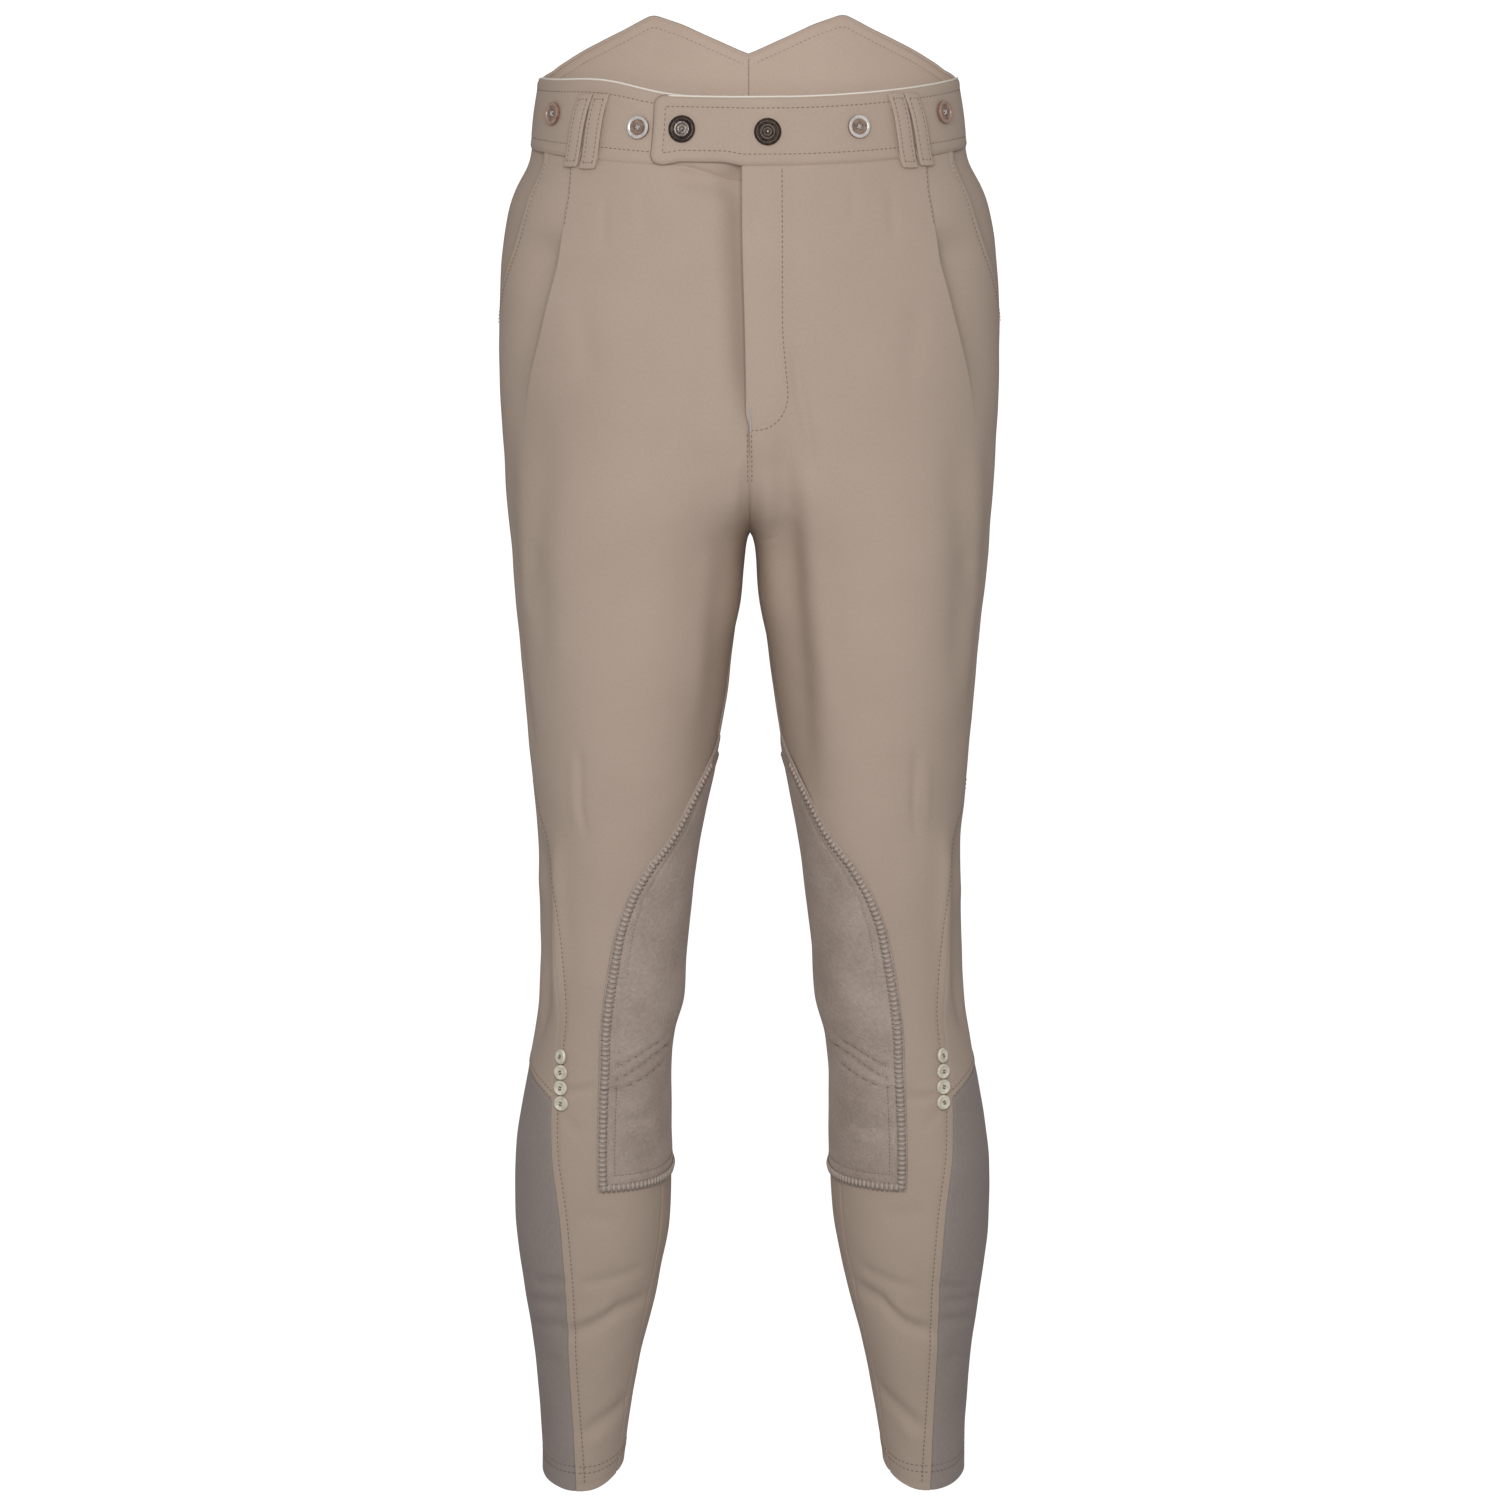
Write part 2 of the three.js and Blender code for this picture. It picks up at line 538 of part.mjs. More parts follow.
// Half of the fishtail back, up to its peak and down to the notch at the centre seam.
function fishtail(side) {
  const middle = backEdge(0, SEAM_GAP / 2);
  const peak = 64;
  const angles = [
    ...steps(7).map((t) => lerp(gapAngle(0), peak, t)),
    ...steps(3).slice(1).map((t) => lerp(peak, middle, t)),
  ];
  return bandPiece(side, steps(4), () => angles);
}

// Belt loops stand in pairs, closer together at the top than at the bottom.
const BELT_LOOP = { width: 10.5, top: 12, below: 6.5, bow: 2.4, steps: 8 };
const LOOP_PAIRS = {
  front: [
    { name: "inner", topAngle: -49.9, bottomAngle: -47.4 },
    { name: "outer", topAngle: -43.9, bottomAngle: -40.6 },
  ],
  back: [
    { name: "inner", topAngle: 55, bottomAngle: 56 },
    { name: "outer", topAngle: 49, bottomAngle: 49 },
  ],
};

function beltLoop(side, loop) {
  const halfAngle = BELT_LOOP.width / 2 / perDegree(0);
  const rest = BAND_LIFT + 0.7 + LOOP_WEBBING;
  const grid = steps(BELT_LOOP.steps).map((t) => {
    const centre = lerp(loop.topAngle, loop.bottomAngle, t);
    const height = lerp(BELT_LOOP.top, waistSeam(centre, 1) - BELT_LOOP.below, t);
    const lift = rest + BELT_LOOP.bow * Math.sin(Math.PI * t) ** 0.7;
    return [-1, 0, 1].map((edge) => ({ angle: centre + edge * halfAngle, height, lift }));
  });
  return wall(grid, side, LOOP_WEBBING);
}

// Round fastenings, turned about their own axis, with the back at 0.
const ROUND_SEGMENTS = 16;

function turned(profile) {
  const points = profile.map(([radius, height]) => new THREE.Vector2(radius, height));
  return new THREE.LatheGeometry(points, ROUND_SEGMENTS).rotateX(Math.PI / 2);
}

function dishedButton({ radius, thick, rim }) {
  return turned([
    [0, 0],
    [radius - 1, 0],
    [radius, thick * 0.4],
    [radius - 0.7, thick],
    [rim, thick * 0.9],
    [rim - 0.9, thick * 0.6],
    [0, thick * 0.6],
  ]);
}

function snapCap({ radius, thick }) {
  return turned([
    [0, 0],
    [radius - 0.6, 0],
    [radius, thick * 0.35],
    [radius - 1.2, thick * 0.75],
    [radius * 0.62, thick * 0.9],
    [radius * 0.56, thick * 0.8],
    [radius * 0.25, thick],
    [0, thick],
  ]);
}

function piece(name, geometry, material) {
  const mesh = new THREE.Mesh(geometry, material);
  mesh.name = name;
  return mesh;
}

// A fastening on the cloth at an angle and height, its axis along the cloth's outward normal.
function fastened(name, geometry, material, place) {
  const mesh = piece(name, geometry, material);
  const normal = normalOf(place.angle, place.height, place.side);
  mesh.position.copy(cloth(place.angle, place.height, place.side, place.lift + STAND_OFF));
  mesh.quaternion.setFromUnitVectors(new THREE.Vector3(0, 0, 1), normal);
  return mesh;
}

const cloths = {
  twill: new THREE.MeshStandardMaterial({ color: COLOURS.twill, roughness: 0.85, metalness: 0 }),
  stretch: new THREE.MeshStandardMaterial({ color: COLOURS.stretch, roughness: 0.8, metalness: 0 }),
  suede: new THREE.MeshStandardMaterial({ color: COLOURS.suede, roughness: 0.95, metalness: 0 }),
};
const hard = {
  corozo: new THREE.MeshStandardMaterial({ color: COLOURS.corozo, roughness: 0.4, metalness: 0 }),
  shell: new THREE.MeshStandardMaterial({ color: COLOURS.shell, roughness: 0.3, metalness: 0 }),
  gunmetal: new THREE.MeshStandardMaterial({ color: COLOURS.gunmetal, roughness: 0.35, metalness: 0.9 }),
};

const BRACE_BUTTONS = [
  { name: "front_inner", angle: -62.8, height: -10 },
  { name: "front_outer", angle: -29, height: 0 },
  { name: "back", angle: 64, height: 46 },
];
const SNAPS = [
  { name: "snap_tab", angle: -105, height: -11.5 },
  { name: "snap_band", angle: -86.2, height: -13.5 },
];

const breeches = new THREE.Group();

for (const side of [1, -1]) {
  const hand = side > 0 ? "left" : "right";
  breeches.add(
    piece(`front_${hand}`, frontPanel(side, THIGH_ROWS), cloths.twill),
    piece(`front_shin_${hand}`, frontPanel(side, SHIN_ROWS), cloths.twill),
    piece(`back_${hand}`, backPanel(side, THIGH_ROWS), cloths.twill),
    piece(`back_shin_${hand}`, backPanel(side, SHIN_ROWS), cloths.twill),
    piece(`calf_panel_${hand}`, calfPanel(side), cloths.stretch),
    piece(`pocket_facing_${hand}`, pocketFacing(side), cloths.twill),
    piece(`knee_patch_${hand}`, kneePatch(side), cloths.suede),
    piece(`waistband_${hand}`, side > 0 ? waistbandLeft() : waistbandRight(), cloths.twill),
    piece(`fishtail_${hand}`, fishtail(side), cloths.twill),
  );
  for (const [part, loops] of Object.entries(LOOP_PAIRS)) {
    for (const loop of loops) {
      breeches.add(piece(`belt_loop_${part}_${loop.name}_${hand}`, beltLoop(side, loop), cloths.twill));
    }
  }
  for (const { name, angle, height } of BRACE_BUTTONS) {
    const place = { angle, height, side, lift: BAND_LIFT };
    breeches.add(fastened(`brace_button_${name}_${hand}`, dishedButton(BRACE_BUTTON), hard.corozo, place));
  }
  for (let i = 0; i < KNEE_BUTTON.count; i += 1) {
    const height = KNEE_BUTTON.first - KNEE_BUTTON.pitch * i;
    const angle = sideSeam(height) - (KNEE_BUTTON.inset + KNEE_BUTTON.drift * i) / perDegree(height);
    const place = { angle, height, side, lift: 0 };
    breeches.add(fastened(`knee_button_${i + 1}_${hand}`, dishedButton(KNEE_BUTTON), hard.shell, place));
  }
}

for (const { name, angle, height } of SNAPS) {
  const place = { angle, height, side: 1, lift: BAND_LIFT + TAB.lift };
  breeches.add(fastened(name, snapCap(SNAP), hard.gunmetal, place));
}

export default breeches;
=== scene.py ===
# Riding breeches for a man, in the shape they have when worn, with no wearer inside: a high fishtail back, a
# snapped waistband, one pleat and one slanted pocket a side, suede knee patches and grey stretch calf panels.
# Sizes are millimetres on the cloth and metres in the meshes. The front is -Y and the wearer's left is +X.

import math

import bpy
import numpy as np
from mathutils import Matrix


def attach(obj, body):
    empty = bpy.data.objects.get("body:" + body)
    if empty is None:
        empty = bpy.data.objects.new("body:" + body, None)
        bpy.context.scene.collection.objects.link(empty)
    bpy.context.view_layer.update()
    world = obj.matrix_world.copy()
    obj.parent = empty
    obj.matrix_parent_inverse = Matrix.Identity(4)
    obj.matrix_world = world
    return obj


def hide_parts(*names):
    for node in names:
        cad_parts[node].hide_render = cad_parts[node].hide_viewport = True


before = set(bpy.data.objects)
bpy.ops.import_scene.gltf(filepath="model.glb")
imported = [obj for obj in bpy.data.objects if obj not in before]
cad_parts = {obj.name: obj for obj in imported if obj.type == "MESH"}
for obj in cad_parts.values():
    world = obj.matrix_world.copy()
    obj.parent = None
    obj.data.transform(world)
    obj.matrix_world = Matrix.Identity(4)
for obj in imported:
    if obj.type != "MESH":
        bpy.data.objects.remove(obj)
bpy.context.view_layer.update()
bpy.ops.object.select_all(action="DESELECT")

# Fronts
# Each front is one length of cotton twill from the waist seam to the hem, with a reverse pleat and a slanted
# pocket mouth. The left one laps over the right one along the fly and carries its curved stitching.

TWILL = 1.5
GAP = 0.15  # half of the gap between two pieces at a seam
ROUNDNESS = 2.2
WAIST_ROW = -30  # nominal heights of the waist seam, the crotch, the calf panels' top seam and the hem
CROTCH = -294
CALF_TOP = -699.5
HEM = -996
ROW_SPACING = 3.3
ROLL = 1.3  # how far the turn of a sewn edge reaches into the cloth
SEAM_STITCH = 6  # from a seam to the stitches beside it
HEM_STITCHES = (14, 19)
HANDS = {1: "left", -1: "right"}

# Sections of the wearer's left half, from the top down.
SECTIONS = np.array([
    # height, outer, inner at the front, inner at the back, middle, front, back
    (80, 147, -147, -147, 0, -103, 103),
    (24, 147.5, -147.5, -147.5, 0, -103, 104),
    (0, 151, -151, -151, 0, -105, 106),
    (-32, 154.5, -154.5, -154.5, 0, -108, 111),
    (-48, 163.3, -163.3, -163.3, 0, -110, 114),
    (-64, 169.8, -169.8, -169.8, 1, -112, 118),
    (-92, 174.6, -174.6, -174.6, 2, -114, 125),
    (-150, 178.2, -178.2, -178.2, 4, -116, 133),
    (-180, 177.9, -166, -158, 4, -115.5, 132.5),
    (-215, 176.8, -134, -122, 3, -114, 130),
    (-245, 175.1, -80, -72, 2, -111.3, 124),
    (-265, 173.9, -38, -34, 1.2, -110, 119),
    (-278, 173, -15, -14, 0.6, -108.8, 116),
    (-287, 172.3, -4.2, -4, 0.3, -108.2, 113.6),
    (-294, 171.8, 0, 0, 0, -107.5, 112),
    (-304, 171, 3.4, 3.4, -0.5, -106.8, 109.6),
    (-345, 167.8, 8.2, 8.2, -2, -104, 100),
    (-447, 159.3, 22.4, 22.4, -4, -95, 84),
    (-520, 153.8, 35.5, 35.5, -6, -86, 71),
    (-594, 153.6, 44.3, 44.3, -8, -76, 56.5),
    (-632, 154.4, 47.2, 47.2, -7.5, -72.5, 53),
    (-660, 158.4, 54.2, 54.2, -5, -70, 55),
    (-698, 165.5, 57.6, 57.6, -2, -67.5, 62),
    (-758, 174.1, 57.2, 57.2, 3, -64.5, 70.5),
    (-800, 174.4, 59.5, 59.5, 4, -61.5, 69.5),
    (-849, 168.6, 69.2, 69.2, 3.5, -56, 61),
    (-910, 160.7, 84.2, 84.2, 2.5, -49, 50),
    (-955, 157.3, 92.2, 92.2, 2, -44.5, 45),
    (-996, 156.7, 97.6, 97.6, 1, -41, 42),
], float)

# Seams and edges, each as heights and angles.
SIDE_SEAM = [(80, 0), (-440, 0), (-478, -11), (-506, -26), (-541, -40), (-589, -47), (-651, -52),
             (-700, -55.7), (-732, -60.5), (-768, -67), (-823, -72.5), (-884, -74), (-929, -77.5),
             (-996, -86)]
INSEAM_TURN = [(-294, 0), (-400, 4), (-700, 28), (-996, 30)]
PLEAT_LINE = [(-30, -38.5), (-60, -44), (-95, -43.9), (-117, -41.8), (-148, -38), (-195, -31.5), (-240, -28),
              (-440, -36), (-541, -60), (-700, -73), (-996, -100)]
POCKET_LINE = [(-23, -22), (-50, -24.5), (-70, -24), (-88, -20.5), (-118, -11.5), (-150, 0)]
POCKET_END = -150
LEVELS = np.arange(-1010.0, 96.0)


def soft_curve(places, values, at):
    """A curve through points that never swings past them. places go up."""
    places, values, at = (np.asarray(a, float) for a in (places, values, at))
    gaps = np.diff(places)
    slopes = np.diff(values) / gaps
    tangents = np.concatenate([slopes[:1], np.zeros(len(places) - 2), slopes[-1:]])
    for i in range(1, len(places) - 1):
        if slopes[i - 1] * slopes[i] > 0:
            tangents[i] = 2 * slopes[i - 1] * slopes[i] / (slopes[i - 1] + slopes[i])
    at = np.clip(at, places[0], places[-1])
    i = np.clip(np.searchsorted(places, at) - 1, 0, len(gaps) - 1)
    t = (at - places[i]) / gaps[i]
    rise = values[i + 1] - values[i]
    a = tangents[i] * gaps[i]
    b = tangents[i + 1] * gaps[i]
    return values[i] + t * (a + t * (3 * rise - 2 * a - b + t * (a + b - 2 * rise)))


def level_curve(rows, blur):
    """A table's column at every millimetre of height, blurred so that no row shows as a crease."""
    rows = sorted(rows)
    curve = soft_curve([r[0] for r in rows], [r[1] for r in rows], LEVELS)
    reach = int(3 * blur)
    kernel = np.exp(-0.5 * (np.arange(-reach, reach + 1) / blur) ** 2)
    return np.convolve(np.pad(curve, reach, mode="edge"), kernel / kernel.sum(), mode="valid")


def section_column(k, blur):
    return level_curve([(row[0], row[k]) for row in SECTIONS], blur)


outer_at = section_column(1, 5)
inner_front_at = section_column(2, 2)
inner_back_at = section_column(3, 2)
soft_inner_front_at = section_column(2, 15)
soft_inner_back_at = section_column(3, 15)
middle_at = section_column(4, 9)
front_at = section_column(5, 9)
back_at = section_column(6, 9)
side_seam_at = level_curve(SIDE_SEAM, 6)
inseam_at = level_curve(INSEAM_TURN, 10)
pleat_at = level_curve(PLEAT_LINE, 4)
pocket_at = level_curve(POCKET_LINE, 2)


def look_up(curve, height):
    return np.interp(height, LEVELS, curve)


def signed_power(value, power):
    return np.sign(value) * np.abs(value) ** power


def ease(t):
    t = np.clip(t, 0, 1)
    return t * t * (3 - 2 * t)


def mix(a, b, t):
    return a + (b - a) * t


def bell(away, width):
    return np.exp(-((away / width) ** 2))


def form(angle, height):
    """The smooth form of the left half. 0 degrees is the outer side, -90 the front and 90 the back."""
    # only the crotch itself keeps the sharp turn that the section's inner side takes there
    sharp = ease((np.abs((np.asarray(angle) + 180) % 360 - 180) - 105) / 55)
    angle = np.radians(angle)
    turn = np.sin(angle)
    soft = np.where(turn > 0, look_up(soft_inner_back_at, height), look_up(soft_inner_front_at, height))
    inner = np.where(turn > 0, look_up(inner_back_at, height), look_up(inner_front_at, height))
    inner = mix(soft, inner, sharp)
    outer = look_up(outer_at, height)
    middle = look_up(middle_at, height)
    depth = np.where(turn > 0, look_up(back_at, height) - middle, middle - look_up(front_at, height))
    x = (outer + inner) / 2 + (outer - inner) / 2 * signed_power(np.cos(angle), 2 / ROUNDNESS)
    y = middle + depth * signed_power(turn, 2 / ROUNDNESS)
    return np.stack([x, y, np.broadcast_to(height, x.shape)], -1)


def outward(angle, height):
    around = form(angle + 0.6, height) - form(angle - 0.6, height)
    up = form(angle, height + 1.0) - form(angle, height - 1.0)
    normal = np.cross(around, up)
    return normal / np.linalg.norm(normal, axis=-1, keepdims=True)


def per_degree(height):
    """Millimetres along the cloth for one degree, about."""
    outer = look_up(outer_at, height)
    inner = np.maximum(look_up(inner_front_at, height), -outer)
    return (outer - inner + look_up(back_at, height) - look_up(front_at, height)) / 4 * math.pi / 180


def middle_edge(height, x, sign):
    """Where a half meets the plane x at the front (-1) or back (1), or its inseam below the crotch."""
    height, x = np.broadcast_arrays(np.asarray(height, float), np.asarray(x, float))
    near, far = np.full(height.shape, 60.0), np.full(height.shape, 180.0)
    for _ in range(20):
        halfway = (near + far) / 2
        beyond = form(sign * halfway, height)[..., 0] < x
        near, far = np.where(beyond, near, halfway), np.where(beyond, halfway, far)
    leg = sign * 180 + look_up(inseam_at, height) - sign * x / per_degree(height)
    return np.where(height <= CROTCH, leg, sign * (near + far) / 2)


# The folds that the photograph shows, and like ones behind: soft troughs, and ridges of positive depth.
# side is 1 for the wearer's left leg, -1 for the right and 0 for both. Each line has angles and heights.
FOLDS = [
    # side, line of the fold, width, depth
    (0, [(-32, -190), (-44, -256), (-45, -310), (-42, -410)], 15, -2.3),
    (0, [(-30, -215), (-32, -300), (-30, -370)], 10, 0.9),
    (0, [(-22, -205), (-17, -268), (-20, -350)], 13, -1.3),
    (0, [(-44, -296), (-30, -345)], 9, -1.3),
    (-1, [(-68, -430), (-67, -481), (-71.2, -509)], 3.2, -1.3),
    (-1, [(-62, -440), (-62, -500)], 4, 0.7),
    (1, [(-70.7, -430), (-72.3, -485), (-67.2, -510)], 3.2, -1.3),
    (1, [(-64, -440), (-62, -500)], 4, 0.7),
    (0, [(-22, -490), (-25, -560), (-26, -612), (-21, -645), (-2, -668)], 10, -7.5),
    (0, [(-45, -490), (-46, -560), (-46, -650)], 8, 3.6),
    (0, [(-10, -548), (-14, -628)], 9, -2.6),
    (-1, [(-60, -881), (-94, -866), (-114, -856), (-160, -849)], 5.5, -3.4),
    (-1, [(-74, -869), (-96, -858), (-116, -848)], 4.5, 1.3),
    (-1, [(-76, -836), (-142, -825)], 4, -1.7),
    (-1, [(-78, -956), (-115, -941), (-162, -928)], 6, -2.8),
    (-1, [(-96, -962), (-120, -952)], 4, 0.7),
    (1, [(-62, -880), (-101, -865), (-119, -850), (-158, -840)], 5.5, -3.4),
    (1, [(-80, -869), (-102, -857), (-120, -842)], 4.5, 1.3),
    (1, [(-82, -841), (-142, -825)], 4, -1.7),
    (1, [(-80, -953), (-117, -934), (-158, -916)], 6, -2.8),
    (1, [(-98, -958), (-120, -946)], 4, 0.7),
    (-1, [(-66, -691), (-92, -686)], 3, -1.3),
    (-1, [(-66, -686), (-86, -681)], 3, 0.7),
    (1, [(-66, -694), (-94, -696)], 3, -1.3),
    (1, [(-66, -689), (-88, -690)], 3, 0.7),
    (0, [(-66, -706), (-84, -722)], 4, -0.8),
    (0, [(-80, -780), (-112, -786)], 5, -0.8),
    (0, [(-110, -742), (-140, -738)], 5, -0.9),
    (0, [(-103, -716), (-140, -717)], 4, -1.7),
    (0, [(-105, -704), (-132, -704)], 5, 0.9),
    (0, [(-80, -834), (-34, -843)], 3.2, -2.0),
    (0, [(-80, -849), (-36, -853), (-10, -862)], 3.2, -2.1),
    (0, [(-80, -865), (-20, -872)], 3.2, -1.9),
    (0, [(-70, -892), (-14, -905)], 4, -0.9),
    (0, [(-56, -48), (-58, -96)], 4, -0.7),
    (0, [(-66, -46), (-69, -84)], 4, -0.6),
    (0, [(-50, -120), (-56, -190)], 9, -1.1),
    (1, [(-18, -330), (-24, -430)], 10, -1.6),
    (-1, [(-14, -350), (-22, -455)], 10, -1.7),
    (0, [(10, -880), (70, -872)], 6, -1.1),
    (0, [(20, -930), (90, -938)], 6, -1.0),
    (0, [(60, -955), (130, -948)], 5, -0.9),
    (0, [(-4, -590), (50, -604), (95, -600)], 7, -2.4),
    (-1, [(176, -400), (180, -520), (184, -640), (186, -780), (187, -870)], 32, -3.0),
    (1, [(2, -300), (2, -450), (2, -620)], 30, -2.4),
    (0, [(-6, -618), (55, -630), (120, -622), (170, -610)], 8, -3.4),
    (0, [(30, -612), (90, -612)], 6, 1.2),
    (0, [(50, -648), (90, -656), (135, -650)], 7, -2.8),
    (0, [(60, -640), (110, -638)], 6, 1.2),
    (0, [(20, -668), (80, -676), (140, -668)], 6, -2.0),
    (0, [(70, -580), (130, -572), (160, -560)], 7, -1.8),
    (0, [(60, -312), (95, -318), (135, -342)], 12, -3.0),
    (0, [(64, -342), (105, -354), (150, -386)], 10, -2.3),
    (0, [(86, -288), (120, -300), (144, -330)], 7, -2.4),
    (0, [(74, -328), (120, -340)], 7, 1.6),
    (0, [(90, -262), (120, -290)], 6, -1.6),
    (0, [(40, -420), (62, -470), (70, -540)], 14, -2.2),
    (0, [(100, -400), (96, -520)], 12, -2.0),
    (0, [(20, -60), (30, -120)], 8, -0.9),
    (0, [(60, -30), (62, -72)], 5, -0.8),
    (0, [(74, -34), (80, -90)], 6, -0.9),
]

# Folds of the front near the fly and crotch, where each line has places across from the middle and heights.
FRONT_FOLDS = [
    # side, line of the fold, width, depth
    (-1, [(6, 20), (5, -40), (4, -84), (2, -123), (0, -162), (-3, -196), (-5, -240)], 13, -11),
    (-1, [(2, -50), (24, -46), (60, -38)], 9, -4.5),
    (1, [(0, -44), (3, -69), (6, -92)], 2.5, -0.9),
    (1, [(28, -152), (35, -190), (41, -224), (44, -262)], 5, -2.6),
    (1, [(20, -176), (23, -230), (24, -290), (27, -340), (32, -400), (42, -500)], 11, -6.4),
    (1, [(43, -235), (44, -300), (48, -350), (58, -440)], 8, 2.2),
    (1, [(14, -218), (13, -260), (15, -310), (19, -360)], 5, 1.5),
    (0, [(14, -240), (13, -285), (14, -330), (18, -380)], 9, 3.2),
    (-1, [(20, -310), (24, -370), (32, -480)], 13, -2.2),
    (-1, [(26, -262), (29, -300), (33, -350), (36, -400), (39, -440)], 8, 2.0),
    (-1, [(6, -226), (9, -250), (12, -280)], 3.5, 0.9),
    (-1, [(40, -210), (34, -250), (30, -290)], 8, -1.2),
]


def crease(across, up, line, width, depth):
    """The depth of one fold at places given in millimetres, tapering off towards both of its ends."""
    line = np.asarray(line, float)
    steps = np.diff(line, axis=0)
    lengths = np.hypot(steps[:, 0], steps[:, 1])
    before = np.concatenate([[0], np.cumsum(lengths)])
    nearest = np.full(across.shape, 1e9)
    along = np.zeros(across.shape)
    for (x, y), (run, rise), length, start in zip(line, steps, lengths, before):
        t = np.clip(((across - x) * run + (up - y) * rise) / length**2, 0, 1)
        away = np.hypot(across - x - t * run, up - y - t * rise)
        along = np.where(away < nearest, start + t * length, along)
        nearest = np.minimum(nearest, away)
    share = along / before[-1]
    return depth * ease(np.minimum(share, 1 - share) / 0.3) * bell(nearest, width)


def folds(angle, height, side):
    angle, height = np.broadcast_arrays(np.asarray(angle, float), np.asarray(height, float))
    total = np.zeros(angle.shape)
    for only, line, width, depth in FOLDS:
        if only not in (0, side):
            continue
        turns, levels = np.array(line, float).T
        middle = turns.mean()
        scale = float(per_degree(levels.mean()))
        # what both legs have lies a little apart on each, as no two legs wrinkle alike
        drift = 0.0 if only else 4.0 * side * math.sin(levels[0] * 0.37)
        across = ((angle - middle + 180) % 360 - 180) * scale
        near = (np.abs(height - levels.mean()) < np.ptp(levels) / 2 + 3 * width + 5) & (
            np.abs(across) < np.ptp(turns) * scale / 2 + 3 * width)
        if near.any():
            places = np.stack([(turns - middle) * scale, levels + drift], -1)
            total[near] += crease(across[near], height[near], places, width, depth)
    in_front = (angle < 0) & (height < -28) & (height > -480)
    if in_front.any():
        across, up = form(angle[in_front], height[in_front])[..., 0], height[in_front]
        for only, line, width, depth in FRONT_FOLDS:
            if only in (0, side):
                total[in_front] += crease(across, up, line, width, depth) * ease((-28 - up) / 14)
    return total


def flutter(angle, height, side):
    """Slow, slight waves that cloth always has, different on each side."""
    a = np.radians(angle)
    h = height / 100
    s = 1.7 * side
    waves = 0.34 * np.sin(2 * a + 3.1 * h + s) * np.sin(5.3 * h - 1.1 * s)
    waves += 0.22 * np.sin(5 * a - 2.2 * h + 2.4 * s) * np.sin(8.9 * h + 0.7)
    waves += 0.12 * np.sin(9 * a + 6.1 * h - s) * np.sin(13.7 * h + 1.9 * s)
    return waves * ease((-25 - height) / 60)


def fly_lift(angle, height, side):
    if side < 0:
        return 0.0
    near = 1 - ease((form(angle, height)[..., 0] - 14) / 20)
    return np.where(np.asarray(angle) < 0, 2.0 * near * (1 - ease((-218 - height) / 24)), 0.0)


def pleat_opening(height):
    return ease((-height - 72) / 26) * (1 - ease((-height - 125) / 95))


def pleat_drop(height):
    return 1.8 * (1 - ease((-height - 70) / 90)) + 2.4 * pleat_opening(height)


def pleat_lift(angle, height, fallen=None):
    """The pleat's inner layer stands proud, and the layer towards the side seam falls away behind it."""
    past = (((angle + 180) % 360 - 180) - look_up(pleat_at, height)) * per_degree(height)
    opened = pleat_opening(height)
    fallen = past > 0 if fallen is None else fallen
    proud = 1.4 * opened * np.exp(np.minimum(past, 0) / 26)
    beyond = np.maximum(past, 0)
    hollow = (1 - np.exp(-beyond / 12)) * bell(beyond, 40)
    behind = pleat_drop(height) * np.exp(-beyond / 40) + 9.5 * opened * hollow
    return np.where(fallen, -behind, proud)


def cloth(angle, height, side, lift=0.0, pleat=0.0):
    """Points of a half's cloth and their outward normals, raised by lift from its face."""
    angle, height = np.broadcast_arrays(np.asarray(angle, float), np.asarray(height, float))
    normal = outward(angle, height)
    raised = lift + pleat
    for relief in (folds, flutter, fly_lift):
        raised = raised + relief(angle, height, side)
    point = form(angle, height) + normal * np.asarray(raised)[..., None]
    mirror = np.array([side, 1.0, 1.0])
    return point * mirror, normal * mirror


def waist_seam(angle, side):
    turn = np.sin(np.radians(angle))
    drop = 8.5 * ease((-angle - 73) / 16) if side < 0 else 0.0
    return np.where(turn > 0, mix(-23, -17, turn**2), mix(-23, -35.6, np.abs(turn) ** 1.6) - drop)


def row_height(row, angle, side):
    """True height of a nominal row: it follows the waist seam, the calf panel's slanting edge and the hem."""
    high = 1 - np.clip((WAIST_ROW - row) / 100, 0, 1)
    near = 1 - np.clip(np.abs(row - CALF_TOP) / 62, 0, 1)
    past = np.maximum(0, angle - float(look_up(side_seam_at, CALF_TOP)))
    climb = (1 - np.exp(-past / 40)) * (1 - ease((angle - 120) / 70))
    low = np.clip(1 - (row - HEM) / 50, 0, 1)
    rise = np.where(np.abs(angle) < 90, 6, 11) * np.cos(np.radians(angle)) ** 2
    return row + high * (waist_seam(angle, side) - WAIST_ROW) + near * 24 * climb + low * rise


NEAR = np.array([0, 0.5, 1.2, 2.3, 3.6, 4.9, 6.0, 7.1, 8.6, 10.8, 13.6])  # columns close to a sewn edge


def stations(length, spacing, near=NEAR):
    """Distances along an edge of the cloth, close together at both ends."""
    count = max(2, round((length - 2 * near[-1]) / spacing))
    inside = np.linspace(near[-1], length - near[-1], count + 1)
    return np.concatenate([near, inside[1:-1], length - near[::-1]])


def fan_out(rows, start, end, side):
    """Many angles between two lines, and the distances along the cloth to them."""
    angles = start[:, None] + (end - start)[:, None] * np.linspace(0, 1, 161)
    points = form(angles, row_height(rows[:, None], angles, side))
    lengths = np.linalg.norm(np.diff(points, axis=1), axis=-1)
    return angles, np.concatenate([np.zeros((len(rows), 1)), np.cumsum(lengths, axis=1)], axis=1)


